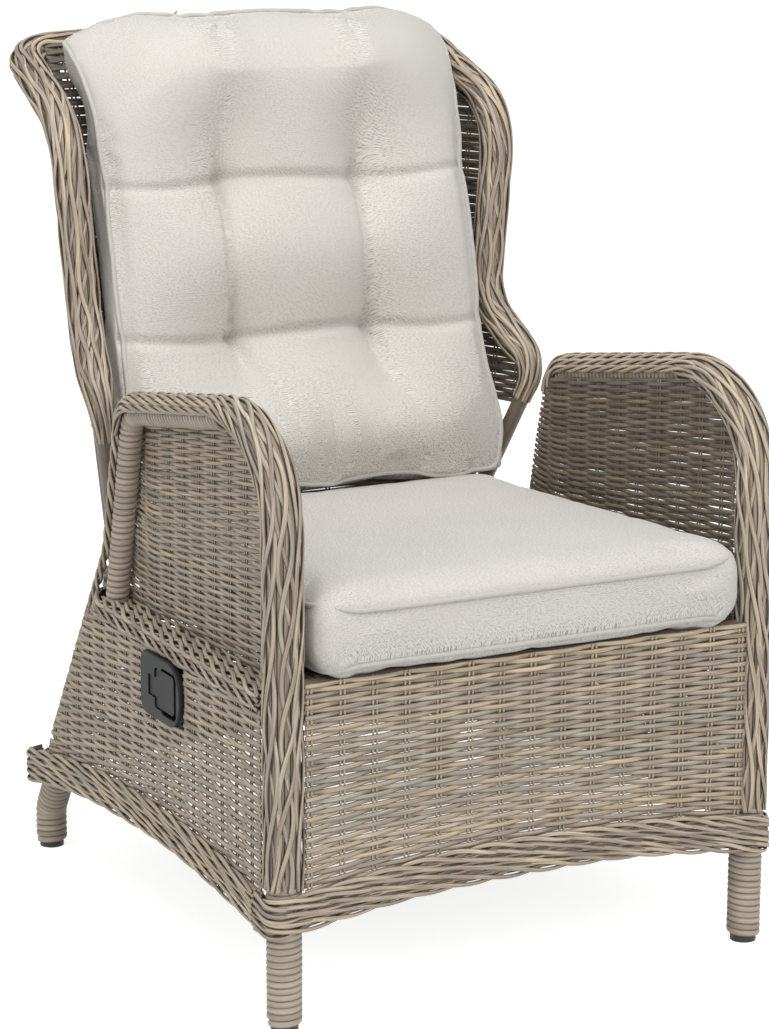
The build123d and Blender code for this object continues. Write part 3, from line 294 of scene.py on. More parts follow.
def strand_stuff(name, shades, streak=0.35, rough=0.55, edge=0.55, crown=0.27):
    """Plastic cane: each strand has one of the shades, with fine streaks along it and painted shade along its
    sides.

    Painted shade darkens its edges by the share edge, away from its crown, the share of the way round
    that is its highest line, and a faint painted highlight lifts the crown. Strands of different tone
    lie tone_spread apart in the noise.
    """
    tone_spread = 97
    fine_grain, slow_grain = (22, 13, 1), (9, 0.6, 1)
    stuff, tree, shader = new_material(name)
    tone = add_node(tree, "Attribute", {}, attribute_name="tone")["Fac"]
    shade = colour_ramp(tree, tone, list(zip(np.linspace(0, 1, len(shades)), shades)))
    surface = add_node(tree, "UVMap", {}, uv_map="UVMap")["UV"]
    apart = add_node(tree, "SeparateXYZ", {0: surface})
    fine = add_node(tree, "CombineXYZ", {"X": apart["X"], "Y": apart["Y"],
                                         "Z": reckon(tree, "MULTIPLY", tone, tone_spread)})[0]
    streaks = reckon(tree, "MULTIPLY", fine, fine_grain, kind="VectorMath")
    grain = add_node(tree, "TexNoise", {"Scale": 1, "Detail": 3, "Vector": streaks})["Fac"]
    slow = reckon(tree, "MULTIPLY", fine, slow_grain, kind="VectorMath")
    drift = add_node(tree, "TexNoise", {"Scale": 1, "Vector": slow})["Fac"]
    dim = reckon(tree, "MULTIPLY", carry_over(tree, grain, (0.32, 0.68), (1 - streak, 1 + streak * 0.55)),
                 carry_over(tree, drift, (0.35, 0.65), (0.86, 1.12)))
    # Painted shade darkens the strand's sides away from its crown, and a faint painted highlight lifts the
    # crown.
    off_crown = reckon(tree, "ABSOLUTE", reckon(tree, "SUBTRACT", apart["Y"], crown))
    painted_groove_shade = carry_over(tree, off_crown, (0.10, 0.27), (1.08, 1 - edge), interpolation_type="SMOOTHSTEP")
    streaks_and_painted_shade = reckon(tree, "MULTIPLY", dim, painted_groove_shade)
    colour = add_node(tree, "VectorMath", {0: shade, "Scale": streaks_and_painted_shade}, operation="SCALE")[0]
    finish_shader(tree, shader, colour, grain, 0.5, 0.0004, Roughness=rough, Specular_IOR_Level=0.4)
    return stuff


taupe = (0.46, 0.375, 0.28)
grey_beige = (0.39, 0.345, 0.275)
straw = (0.50, 0.40, 0.275)
ash_pink = (0.38, 0.31, 0.26)
driftwood = (0.30, 0.245, 0.18)
wrap_cane = strand_stuff("wrap_cane", [taupe, (0.41, 0.345, 0.275), (0.45, 0.375, 0.30)],
                         streak=0.26, rough=0.5, edge=0.20, crown=0.43)


def dress(piece, stuff, body, slot, *names):
    """Give a piece its finish and body, and hide the CAD nodes that it stands for, if any; slot is not used.
    """
    piece.data.materials.append(stuff)
    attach(piece, body)
    if names:
        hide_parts(*names)


# The side frame's own axes: run goes back from the front leg, height is up, out leaves the chair.
side_start = np.array([0.297, -0.3665, 0.0])
side_back = unit(np.array([-0.016, 0.693, 0.0]))
side_outward = np.array([side_back[1], -side_back[0], 0.0])


def side_at(run, height, out, side):
    """Place of (run, height, out) on the left side, or its mirror image where side is -1."""
    run, height, out = np.broadcast_arrays(run, height, out)
    spot = side_start + run[..., None] * side_back + out[..., None] * side_outward
    spot[..., 2] = height
    return spot * (side, 1, 1)


def side_way(vector, side):
    """A direction (run, height, out) of the side frame in the chair's axes."""
    turned_way = np.asarray(vector, float) @ np.stack([side_back, (0, 0, 1), side_outward])
    return turned_way * (side, 1, 1)


def wound(way, side, radius, pitch):
    """Centre line and outward direction of one strand wound round a way in the side's plane.

    With d(s) the way's direction and w square to it, the line is way(s) + radius * (cos(a) * out
    + sin(a) * w(s)), where a grows by a full turn each pitch.
    """
    length = path_length(way)[-1]
    stops = np.linspace(0, length, int(length / pitch * 18))
    path = read_along(way, stops)
    square = square_to(path)
    angle = stops / pitch * 2 * np.pi
    off = np.stack([square[:, 0] * np.sin(angle), square[:, 1] * np.sin(angle), np.cos(angle)], axis=1)
    centre = side_at(path[:, 0], path[:, 1], 0, side)
    outward = side_way(off, side)
    return centre + outward * radius, outward


# Ways (run, height) in the side frame. The arm tube turns at the arm's front and rear corners.
sides = (("left", 1), ("right", -1))
front_corner = (0, 0.664)
rear_corner = (0.4011, 0.604)
rear_knee = np.array([0.6932, 0.050])
rear_way = unit(np.array([0.480, 0.370]) - rear_knee)
rear_behind = np.array([rear_way[1], -rear_way[0]])
arm_way = rounded_way([(0, 0.538), front_corner, rear_corner, (0.4645, 0.350)], (0.105, 0.030), 0.004)
front_foot_way = np.array([[0, 0.010], [0, 0.086], [0, 0.162]])
rear_foot_way = rounded_way([(0.6932, 0.010), rear_knee, (0.4805, 0.3693)], [0.03], 0.004)
foot_wrap = (0.0177, 0.0074, 0.0036)
arm_wrap = (0.0118, 0.0078, 0.0042)
for word, side in sides:
    for label, way, (radius, pitch, thick), stood_for in (
            ("front_foot_wrap", front_foot_way, foot_wrap, "front_leg_windings"),
            ("rear_foot_wrap", rear_foot_way, foot_wrap, "rear_leg_windings"),
            ("arm_wrap", arm_way[path_length(arm_way) > 0.20], arm_wrap, "arm_windings")):
        line, outward = wound(way, side, radius, pitch)
        piece = strands(f"{label}_{word}", line[None], outward[None], pitch * 0.99, thick, flat_wrap,
                        np.array([0.5]))
        dress(piece, wrap_cane, "chair", "wrapped_strand", stood_for)

# ---------------------------------------------------------------- Woven skins
# Half-round strands go in and out of pairs of narrow upright stakes. The rows of the lower skins
# follow the arched hem below and lie level above; small gaps are left between them.


def span(inside, values):
    """First and last of the values that lie inside, for each row of samples."""
    first = np.take_along_axis(values, inside.argmax(axis=1)[:, None], axis=1)
    last_at = inside.shape[1] - 1 - inside[:, ::-1].argmax(axis=1)
    return first[:, 0], np.take_along_axis(values, last_at[:, None], axis=1)[:, 0]


def around_hole(first, last, cut, hole_start, hole_end):
    """Ends of all the runs, where each cut run stops at a hole and goes on after it."""
    firsts = np.concatenate([first, np.full(cut.sum(), hole_end)])
    lasts = np.concatenate([np.where(cut, hole_start, last), last[cut]])
    return firsts, lasts


row_cane = strand_stuff("row_cane", [driftwood, grey_beige, taupe, (0.40, 0.335, 0.265), straw, ash_pink,
                                     (0.43, 0.345, 0.25)], streak=0.42, rough=0.55, edge=0.60, crown=0.31)
stake_cane = strand_stuff("stake_cane", [taupe, straw, (0.49, 0.41, 0.32)], streak=0.25)


def weave_skin(name, body, node_name, place, low, top, reach, inside, row_pitch=0.0057, stake_pitch=0.039,
               row_width=0.0059, bow=None, hole=None):
    """A woven skin over the field place(run, height, off), where off leaves the surface.

    Row i runs at height low(u) + (i + 1/2) / rows * (top(u) - low(u)), and stands off the surface by
    swing * cos(pi * u / stake_pitch + pi * i), so it passes each pair of stakes on the other side
    from its neighbours. A pair of stakes stands at each whole stake_pitch. Rows and stakes stop at
    the hole (u from, u to, height from, height to).
    """
    swing = 0.0021
    row_thick = 0.0025
    stake_width, stake_thick, stake_gap = 0.0028, 0.0019, 0.0048
    start, end = reach
    dense = np.linspace(start, end, 500)
    tallest = np.max(top(dense) - low(dense))
    rows = max(int(round(tallest / row_pitch)), 1)
    share = ((np.arange(rows) + 0.5) / rows)[:, None]

    def row_height(u):
        lift_off = 0 if bow is None else bow(u, share)
        return low(u) + share * (top(u) - low(u)) + lift_off

    grid = np.broadcast_to(dense, (rows, len(dense)))
    fits = inside(grid, row_height(grid))
    kept = fits.sum(axis=1) > 3
    first, last = span(fits, grid)
    first, last, share = first[kept], last[kept], share[kept]
    number = np.arange(rows)[kept][:, None]
    if hole is not None:
        beside = row_height(np.full_like(share, (hole[0] + hole[1]) / 2))[:, 0]
        cut = (beside > hole[2]) & (beside < hole[3])
        first, last = around_hole(first, last, cut, hole[0], hole[1])
        share, number = np.concatenate([share, share[cut]]), np.concatenate([number, number[cut]])
    samples = int((end - start) / stake_pitch * 6)
    u = first[:, None] + (last - first)[:, None] * np.linspace(0, 1, samples)
    shake = rng.normal(0, 0.0002, share.shape) + 0.0003 * np.sin(u * 31 + rng.random(share.shape) * 6.3)
    off = swing * np.cos(np.pi * (u / stake_pitch + number))
    height = row_height(u) + shake
    lines = place(u, height, off)
    ahead = place(u, height, off + 0.001) - lines
    piece = strands(f"{name}_rows", lines, ahead, row_width, row_thick, cane)
    dress(piece, row_cane, body, "woven_strand", node_name)
    count = int((end - start) / stake_pitch) + 2
    posts = (np.ceil(start / stake_pitch) + np.arange(count)) * stake_pitch
    posts = posts[posts < end]
    pairs = np.sort(np.concatenate([posts - stake_gap / 2, posts + stake_gap / 2]))
    line_share = np.linspace(0, 1, 300)
    tall = low(pairs)[:, None] + line_share * (top(pairs) - low(pairs))[:, None]
    fits = inside(np.broadcast_to(pairs[:, None], tall.shape), tall)
    kept = fits.sum(axis=1) > 12
    first, last = span(fits, tall)
    first, last, pairs = first[kept], last[kept], pairs[kept]
    if hole is not None:
        cut = (pairs > hole[0]) & (pairs < hole[1])
        first, last = around_hole(first, last, cut, hole[2], hole[3])
        pairs = np.concatenate([pairs, pairs[cut]])
    height = first[:, None] + (last - first)[:, None] * np.linspace(0, 1, 24)
    u = pairs[:, None] + 0.0003 * np.sin(height * 60 + rng.random((len(pairs), 1)) * 6.3)
    lines = place(u, height, 0.0 * u)
    ahead = place(u, height, 0.0 * u + 0.001) - lines
    piece = strands(f"{name}_stakes", lines, ahead, stake_width, stake_thick, oval,
                    0.3 + 0.7 * rng.random(len(pairs)))
    dress(piece, stake_cane, body, "woven_strand", node_name)


def level_at(height):
    """The same height at every u."""
    return lambda u: 0.0 * u + height


def arc_through(ends, middle):
    """Height, as a function of run, of the circle through three points of the side or front."""
    (x0, y0), (x2, y2) = ends
    x1, y1 = middle
    rows = np.array([[x1 - x0, y1 - y0], [x2 - x0, y2 - y0]])
    right = np.array([x1 ** 2 - x0 ** 2 + y1 ** 2 - y0 ** 2, x2 ** 2 - x0 ** 2 + y2 ** 2 - y0 ** 2]) / 2
    cx, cy = np.linalg.solve(rows, right)
    radius = np.hypot(x0 - cx, y0 - cy)
    return lambda u: cy + np.sqrt(np.maximum(radius ** 2 - (u - cx) ** 2, 0))


side_hem_line = arc_through([(-0.0158, 0.129), (0.7092, 0.105)], (0.3466, 0.149))
front_hem_line = arc_through([(-0.3217, 0.129), (0.3217, 0.129)], (0, 0.156))
lever_hole = (0.2180, 0.3240, 0.2775, 0.3465)

# The lower sides hang between the front post and the rear leg; the right one leaves a hole for
# the lever's housing.
skin_out = 0.0190
for word, side in sides:
    weave_skin(f"side_skin_{word}", "chair", f"side_panel_{word}",
               lambda u, h, off, side=side: side_at(u, h, skin_out + off, side),
               side_hem_line, level_at(0.3530), (0.0125, 0.700),
               lambda u, h: (u > 0.0135) & (u < 0.7034 - (h - 0.0568) * 0.6663),
               hole=lever_hole if side < 0 else None)

# The front skin runs between the two front posts, behind their braided sleeves.
front_skin_y = -0.3803
front_half = 0.2800
weave_skin("front_skin", "chair", "front_panel",
           lambda u, h, off: np.stack([u, front_skin_y - off + 0 * h, h + 0 * u], axis=-1),
           front_hem_line, level_at(0.3840), (-front_half, front_half), lambda u, h: np.abs(u) < front_half)

# The rear skin lies on the raked rear legs and ends at its own rod.
rear_up_way = unit(np.array([0, -0.213, 0.320]))
rear_out_way = np.array([0, rear_up_way[2], -rear_up_way[1]])
rear_foot = np.array([0, 0.3265, 0.050])


def rear_at(u, r, off):
    """Place at u across and r up the rake of the rear skin, standing off by off."""
    u, r, off = np.broadcast_arrays(u, r, off)
    spot = rear_foot + r[..., None] * rear_up_way + (skin_out + off)[..., None] * rear_out_way
    spot[..., 0] = u
    return spot


rear_low = (0.105 - rear_foot[2]) / rear_up_way[2]
rear_top = (0.285 - rear_foot[2]) / rear_up_way[2]
rear_hem_line = arc_through([(-0.297, rear_low), (0.297, rear_low)], (0, rear_low + 0.027))
rear_half = 0.286
weave_skin("rear_skin", "chair", "rear_panel", rear_at, rear_hem_line, level_at(rear_top),
           (-rear_half, rear_half), lambda u, r: np.abs(u) < rear_half)


# The arm skins are woven finer, inside the arm tubes. Their rows rise a little to the rear post.
def arm_inside(u, h):
    """Under the arm tube's cap and in front of the rear post's line."""
    behind = 0.4105 + (0.604 - h) * 0.2496
    over = np.interp(u, [0, 0.0235, 0.04, 0.07, 0.105, 0.14, 0.4011, 0.4111, 0.50],
                     [0.52, 0.602, 0.622, 0.643, 0.6475, 0.642, 0.604, 0.601, 0.56])
    return (u > 0.0165) & (u < behind) & (h < over - 0.004)


arm_skin_out = -0.0163
for word, side in sides:
    weave_skin(f"arm_skin_{word}", "chair", f"arm_panel_{word}",
               lambda u, h, off, side=side: side_at(u, h, arm_skin_out + off, side),
               level_at(0.3700), lambda u: 0.660 - 0.150 * u, (0.0150, 0.470), arm_inside,
               row_pitch=0.00475, stake_pitch=0.0425, row_width=0.0050,
               bow=lambda u, v: 0.016 * 4 * v * (1 - v) * np.clip((u - 0.36) / 0.09, 0, 1) ** 2)

# ---------------------------------------------------------------- Braided borders
# Ropes of three strands are laid side by side. They are twisted tight along the level arm and lie
# long and loose round the bends, down the posts, along the hems and round the back.


def laid_ropes(name, centres, sideways, outward, wide, deep, turn, width, thick, strands_each=3):
    """Ropes beside each other: strand k of a rope circles its centre line, flattened to an oval.

    Its line is centre + sideways * wide * cos(turn + 2 pi k / n) + outward * deep * sin(the same).
    """
    phase = 2 * np.pi * np.arange(strands_each) / strands_each
    angle = turn[:, None] + phase[None, :, None]
    lines = (centres[:, None] + sideways[:, None] * (wide * np.cos(angle))[..., None]
             + outward[:, None] * (deep * np.sin(angle))[..., None])
    facing = outward[:, None] + sideways[:, None] * (0.45 * np.cos(angle))[..., None]
    count = lines.shape[0] * strands_each
    lines = lines.reshape(count, -1, 3)
    facing = np.broadcast_to(facing, (len(centres), strands_each, *centres.shape[1:])).reshape(count, -1, 3)
    return strands(name, lines, facing, width, thick, oval)


braid_cane = strand_stuff("braid_cane", [driftwood, ash_pink, taupe, grey_beige, straw, (0.46, 0.39, 0.31)],
                          streak=0.42, rough=0.55, edge=0.72, crown=0.25)


def dress_braid(piece, body, *names):
    """Give a braid its cane and body, and let it stand for its CAD border, which is hidden."""
    dress(piece, braid_cane, body, "braided_strand", *names)


def smooth(share):
    """Soft step from 0 to 1."""
    share = np.clip(share, 0, 1)
    return share * share * (3 - 2 * share)


def spokes(up_way, out_way, around):
    """Directions that leave a line at angles from up toward out, and those a quarter turn on."""
    cos, sin = np.cos(around)[..., None], np.sin(around)[..., None]
    return up_way[None] * cos + out_way[None] * sin, out_way[None] * cos - up_way[None] * sin


# Arm braid: seven ropes come up the front post, go over the bend and lie tight on the arm, on a
# first layer of straight strands laid side by side.
ropes = np.arange(7)[:, None]
rope_lay = np.array([[1.0], [0.82], [1.22], [0.9], [1.12], [0.94], [1.06]])
rope_start = np.array([[0.4], [2.9], [1.3], [4.4], [5.6], [3.5], [2.0]])
rope_strands = 3 * len(ropes)
rope_apart = 360 / len(ropes)
under = np.arange(16)[:, None]
under_apart = 360 / len(under)
few = slice(None, None, 3)
way_step = 0.003
cap_way = rounded_way([(0, 0.159), front_corner, rear_corner, (0.4079, 0.5766)], (0.105, 0.024), way_step)
gone = path_length(cap_way)
level_part = smooth((gone - 0.470) / 0.13)[None]
square = square_to(cap_way)
up_way = np.stack([square[:, 0], square[:, 1], 0 * gone], axis=1)
out_way = np.broadcast_to((0.0, 0.0, 1.0), up_way.shape)


def either(bent, level, part=level_part):
    """One value on the post and the bend, going over to another on the level arm."""
    return bent * (1 - part) + level * part


for word, side in sides:
    base = side_at(cap_way[:, 0], cap_way[:, 1], 0, side)
    wander = 0.14 * np.sin(gone[None] * 14 + ropes * 2.6) * (1 - level_part)
    around = np.radians((ropes - 3) * either(rope_apart, 27)) + 0.25 * (1 - level_part) + wander
    radial, lateral = spokes(up_way, out_way, around)
    local = radial * either(0.0196, 0.0166)[..., None] + up_way[None] * (0.0050 * level_part)[..., None]
    turn = 2 * np.pi * np.cumsum(way_step / either(0.20 * rope_lay, 0.085), axis=1) + rope_start
    piece = laid_ropes(f"arm_braid_{word}", base[None] + side_way(local, side), side_way(lateral, side),
                       side_way(radial, side), either(0.0080, 0.0029)[:, None],
                       either(0.0017, 0.0026)[:, None], turn,
                       np.repeat(either(0.0056, 0.0046), rope_strands, axis=0),
                       np.repeat(either(0.0034, 0.0040), rope_strands, axis=0))
    dress_braid(piece, "chair", f"arm_cap_{word}", f"front_band_{word}")
    part = level_part[:, few]
    around = np.radians((under - 7.5) * either(under_apart, 11, part))
    radial, lateral = spokes(up_way[few], out_way[few], around)
    local = radial * either(0.0175, 0.0148, part)[..., None] + up_way[None, few] * (0.0050 * part)[..., None]
    piece = strands(f"arm_first_layer_{word}", base[None, few] + side_way(local, side),
                    side_way(radial, side), np.repeat(either(0.0069, 0.0031, part), len(under), axis=0),
                    0.0022, oval, 0.12 * rng.random(len(under)))
    dress_braid(piece, "chair", f"arm_cap_{word}", f"front_band_{word}")

# Hems: five long-laid ropes one above the other along the arched lower edge, on a flat core. The
# front hem goes round the front posts, and the side hems turn in behind the rear legs.


def hem_braid(name, node_name, plan, place, line):
    """Ropes stacked over a hem's height.

    The plan is a path of (u, off), and the hem's middle stands over it at line(u).
    """
    height = 0.038
    count = 5
    gone = path_length(plan)[None]
    along = unit(np.gradient(plan, axis=0))
    number = np.arange(count)[:, None]
    spacing = height / count
    rise = (number + 0.5) * spacing - height / 2
    run, off = plan.T
    middle = line(run)
    centres = place(run, middle + rise, off)
    sideways = unit(place(run, middle + rise + 0.001, off) - centres)
    outward = unit(place(run + 0.001 * along[:, 1], middle + rise, off - 0.001 * along[:, 0]) - centres)
    lay = 0.15 * (0.85 + 0.3 * rng.random((count, 1)))
    turn = 2 * np.pi * gone / lay + 6.3 * rng.random((count, 1))
    wide = spacing * (0.62 + 0.10 * np.sin(gone * 23 + number * 2))[:, None]
    braid = laid_ropes(name, centres, sideways, outward, wide, 0.0024, turn, 0.0054, 0.0034)
    core_line = place(run - 0.0022 * along[:, 1], middle, off + 0.0022 * along[:, 0])[None]
    core = strands(f"{name}_core", core_line, outward[1:2], height * 0.92, 0.0020, oval, np.zeros(1))
    for piece in (braid, core):
        dress_braid(piece, "chair", node_name)


front_plan = rounded_way([(-0.3202, -0.3420), (-0.3212, -0.3871), (0.3212, -0.3871), (0.3202, -0.3420)],
                         (0.018, 0.018), 0.004)
hem_braid("front_hem_braid", "front_hem", front_plan,
          lambda u, h, off: np.stack(np.broadcast_arrays(u, off, h), axis=-1), front_hem_line)
side_plan = rounded_way([(0.7170, 0.0010), (0.7170, 0.0245), (0.0240, 0.0245)], (0.018,), 0.004)
for word, side in sides:
    hem_braid(f"side_hem_braid_{word}", f"side_hem_{word}", side_plan,
              lambda u, h, off, side=side: side_at(u, h, off, side), side_hem_line)
rear_plan = rounded_way([(0.2965, 0.0055), (0.0, 0.0055), (-0.2965, 0.0055)], (), 0.004)
hem_braid("rear_hem_braid", "rear_hem", rear_plan, rear_at, rear_hem_line)

# Ledge: four ropes over the side rail, where the arm's skin steps in, on a plain core. Each row
# holds a rope's way out, its height and the outward and upward shares of its facing.
ledge_ropes = np.array([[-0.0105, 0.3700, 0, 1], [0.0030, 0.3708, 0, 1], [0.0155, 0.3690, 0.5, 0.87],
                        [0.0195, 0.3572, 1, 0.15]])
for word, side in sides:
    run = np.linspace(0.0190, 0.4780, 130)
    centres = side_at(run[None], ledge_ropes[:, 1:2], ledge_ropes[:, :1], side)
    facing = unit(np.stack([0 * ledge_ropes[:, 2], ledge_ropes[:, 3], ledge_ropes[:, 2]], axis=1))
    sideways = np.stack([0 * facing[:, 0], -facing[:, 2], facing[:, 1]], axis=1)
    outward = np.broadcast_to(side_way(facing, side)[:, None], centres.shape)
    sideways = np.broadcast_to(side_way(sideways, side)[:, None], centres.shape)
    turn = 2 * np.pi * run[None] / 0.085 + np.arange(4)[:, None] * 1.7
    piece = laid_ropes(f"ledge_braid_{word}", centres, sideways, outward, 0.0055, 0.0019, turn,
                       0.0052, 0.0032)
    dress_braid(piece, "chair", f"ledge_{word}")
    core_line = side_at(np.linspace(0.0190, 0.4770, 40), 0.3600, 0.0010, side)[None]
    core = strands(f"ledge_core_{word}", core_line, side_way((0, 1, 0), side), 0.034, 0.0176, oval)
    dress(core, wrap_cane, "chair", "braided_strand")

# Thin edge braids run down behind the rear posts and the rear edges of the sides. Each lies a little
# to the outer side of its tube, against its rear.
edge_out = 0.012
post_way = unit(np.array([0.4590, 0.372]) - rear_corner)
post_behind = np.array([-post_way[1], post_way[0]])
on_post = rear_corner + post_behind * np.sqrt(0.0201 ** 2 - edge_out ** 2)
on_leg = rear_knee + rear_behind * np.sqrt(0.0222 ** 2 - edge_out ** 2)
knee_share = np.linalg.solve(np.stack([post_way, -rear_way], axis=1), on_leg - on_post)
foot = on_leg + rear_way * ((0.162 - on_leg[1]) / rear_way[1])
way = rounded_way([on_post + post_way * 0.002, on_post + post_way * knee_share[0], foot], [0.048], way_step)
square = square_to(way)
for word, side in sides:
    centres = side_at(way[:, 0], way[:, 1], edge_out, side)[None]
    sideways = side_way(np.column_stack([square, 0 * square[:, 0]]), side)[None]
    outward = np.broadcast_to(side_way((0, 0, 1), side), sideways.shape)
    turn = (2 * np.pi * path_length(way) / 0.062)[None]
    piece = laid_ropes(f"edge_rope_{word}", centres, sideways, outward, 0.0033, 0.0031, turn, 0.0058, 0.0046)
    dress_braid(piece, "chair", f"edge_braid_{word}")

# A rope closes the rear skin's upper edge.
u = np.linspace(-rear_half, rear_half, 150)
centres = rear_at(u, rear_top, 0.0)[None]
piece = laid_ropes("rear_top_rope", centres, np.broadcast_to(rear_up_way, centres.shape),
                   np.broadcast_to(rear_out_way, centres.shape), 0.0034, 0.0020, (2 * np.pi * u / 0.07)[None],
                   0.0062, 0.0034)
dress_braid(piece, "chair")

# ---------------------------------------------------------------- Backrest
# The woven back rolls away at the top. Woven wings stand forward of it at both sides, and a
# braid of long strands runs up their front edges and over the top, tapering off below the arms.
lean = np.radians(15)
roll_radius = 0.300
lean_up = np.array([0, np.sin(lean), np.cos(lean)])
lean_behind = np.array([0, np.cos(lean), -np.sin(lean)])
pivot = np.array([0, 0.1765, 0.378])
straight = (0.870 - 0.420) / np.cos(lean)
rolled = roll_radius * np.radians(28.8)


def back_at(x, s, behind):
    """Place at x across and s up the back's line from its lower edge, standing behind it.

    Up to the roll it is a straight leaning line, and then an arc of roll_radius about a centre behind.
    """
    x, s, behind = np.broadcast_arrays(x, s, behind)
    low_end = pivot + lean_up * (0.420 - 0.378) / np.cos(lean)
    up = np.minimum(s, straight)[..., None] * lean_up + behind[..., None] * lean_behind + low_end
    turned_by = np.maximum(s - straight, 0) / roll_radius
    centre = low_end + straight * lean_up + roll_radius * lean_behind
    angle = (lean + turned_by)[..., None]
    arm = np.concatenate([0 * angle, -np.cos(angle), np.sin(angle)], axis=-1)
    over = centre + (roll_radius - behind)[..., None] * arm
    spot = np.where((s > straight)[..., None], over, up)
    spot[..., 0] = x
    return spot


def back_inside(x, s):
    """Within the back's outline, which narrows below the arms."""
    return np.abs(x) < np.interp(s, [0, 0.186], [0.234, 0.2565])


back_half = 0.257
weave_skin("back_skin", "backrest", "back_panel", lambda x, s, off: back_at(x, s, -0.0136 + off),
           level_at(0.0), level_at(straight + rolled - 0.004), (-back_half, back_half), back_inside,
           row_pitch=0.0056)
skin_front = 0.0154


def back_face(z):
    """Y of the back skin's front at a height."""
    s = np.linspace(0, straight + rolled, 400)
    face = back_at(0 * s, s, 0 * s - skin_front)
    return np.interp(z, face[:, 2], face[:, 1])


wing_flare = 0.31


def wing_at(y, z, off):
    """Place on the left wing's plane, which flares out toward the front, standing off it."""
    y, z, off = np.broadcast_arrays(y, z, off)
    hinge = pivot[1] - skin_front / np.cos(lean) + (z - pivot[2]) * np.tan(lean)
    flat = np.stack([0.262 + wing_flare * (hinge - y), y, z], axis=-1)
    return flat + off[..., None] * unit(np.array([1, wing_flare, -wing_flare * np.tan(lean)]))


def wing_inside(y, z):
    """Between the wing's braided edge and the back's face."""
    edge = np.interp(z, [0.545, 0.600, 0.675, 0.915, 0.992], [0.1290, 0.1115, 0.2035, 0.2035, 0.3815])
    return (y > edge + 0.012) & (y < back_face(z) - 0.001) & (z > 0.55)


for word, side in sides:
    weave_skin(f"wing_skin_{word}", "backrest", f"wing_{word}",
               lambda y, z, off, side=side: wing_at(y, z, 0.0019 + off) * (side, 1, 1),
               level_at(0.545), level_at(0.985), (0.1115, 0.3915), wing_inside,
               row_pitch=0.0055, stake_pitch=0.036, row_width=0.0054)

# The edge braid has the same seven ropes as the arms', laid round a first layer of straight strands.
edge_left = [np.array([0.2844, 0.1276, 0.558])] + [
    wing_at(*spot, 0.0) for spot in ((0.1115, 0.600), (0.2035, 0.675), (0.2035, 0.915))] + [
    np.array([0.280, 0.3815, 0.992])]
edge_right = [spot * (-1, 1, 1) for spot in edge_left[::-1]]
edge_way = rounded_way(edge_left + [np.array([0, 0.3815, 1.006])] + edge_right,
                       [0.035, 0.080, 0.090, 0.045, 1.5, 0.045, 0.090, 0.080, 0.035], 0.003)
gone = path_length(edge_way)
along = unit(np.gradient(edge_way, axis=0))
away = edge_way - np.array([0, 0.1615, 0.7])
away = unit(away - (away * along).sum(axis=1, keepdims=True) * along)
beside = np.cross(along, away)
taper = 0.50 + 0.50 * smooth(np.minimum(gone, gone[-1] - gone) / 0.10)
from_middle = np.abs(gone - gone[-1] / 2)[None]
radial, lateral = spokes(away, beside, np.radians(rope_apart * ropes) + from_middle / 0.62 * 2 * np.pi * 0.6)
piece = laid_ropes("back_edge_braid", edge_way[None] + radial * (0.0178 * taper)[None, :, None],
                   lateral, radial, (0.0080 * taper)[None, None], 0.0017,
                   2 * np.pi * from_middle / (0.21 * rope_lay) + rope_start,
                   np.repeat((0.0058 * (0.55 + 0.45 * taper))[None], rope_strands, axis=0), 0.0034)
dress_braid(piece, "backrest", "back_edge_band")
radial, lateral = spokes(away[few], beside[few], np.radians(under_apart * under))
piece = strands("back_edge_first_layer", edge_way[None, few] + radial * (0.0156 * taper[few])[None, :, None],
                radial, np.repeat((0.0062 * taper[few])[None], len(under), axis=0), 0.0022, oval,
                0.12 * rng.random(len(under)))
dress_braid(piece, "backrest", "back_edge_band")

# ---------------------------------------------------------------- Seat cushion
# Foam in a light warm grey cover: box sides, a crowned top, and piping sewn along both edges.


def cloth_stuff(name, base, dark):
    """Heathered cloth with a fine herringbone and flecks of a darker yarn.

    Yarns slant one way in each narrow column and back in the next.
    """
    column_width, yarn_pitch = 0.0045, 0.0028
    stuff, tree, shader = new_material(name)
    surface = add_node(tree, "UVMap", {}, uv_map="UVMap")["UV"]
    apart = add_node(tree, "SeparateXYZ", {0: surface})
    slant = reckon(tree, "ADD", reckon(tree, "PINGPONG", apart["X"], column_width), apart["Y"])
    yarn = reckon(tree, "SINE", reckon(tree, "MULTIPLY", slant, 2 * np.pi / yarn_pitch))
    fleck_way = reckon(tree, "MULTIPLY", surface, (370, 620, 1), kind="VectorMath")
    fleck = add_node(tree, "TexNoise", {"Scale": 1, "Detail": 2, "Vector": fleck_way})["Fac"]
    patch = add_node(tree, "TexNoise", {"Scale": 9, "Vector": surface})["Fac"]
    shade = reckon(tree, "ADD", carry_over(tree, fleck, (0.30, 0.70), (0, 1)),
                   carry_over(tree, yarn, (-1, 1), (0, 0.62)))
    drift = reckon(tree, "MULTIPLY_ADD", patch, 0.22, shade)
    colour = colour_ramp(tree, drift, [(0.35, dark), (1.0, base)])
    finish_shader(tree, shader, colour, shade, 0.5, 0.0005, Roughness=0.95, Specular_IOR_Level=0.15,
                  Sheen_Weight=0.25, Sheen_Roughness=0.5)
    return stuff


warm_grey = cloth_stuff("warm_grey_cloth", (0.69, 0.665, 0.62), (0.33, 0.31, 0.275))


def vertex_array(thing):
    """The places of a mesh's vertices as an array."""
    spots = np.empty(len(thing.data.vertices) * 3)
    thing.data.vertices.foreach_get("co", spots)
    return spots.reshape(-1, 3)


def set_vertices(thing, spots):
    """Move a mesh's vertices to an array of places."""
    thing.data.vertices.foreach_set("co", spots.ravel())
    thing.data.update()


def normal_array(thing):
    """The directions that a mesh's vertices face."""
    facing = np.empty(len(thing.data.vertices) * 3)
    thing.data.vertex_normals.foreach_get("vector", facing)
    return facing.reshape(-1, 3)


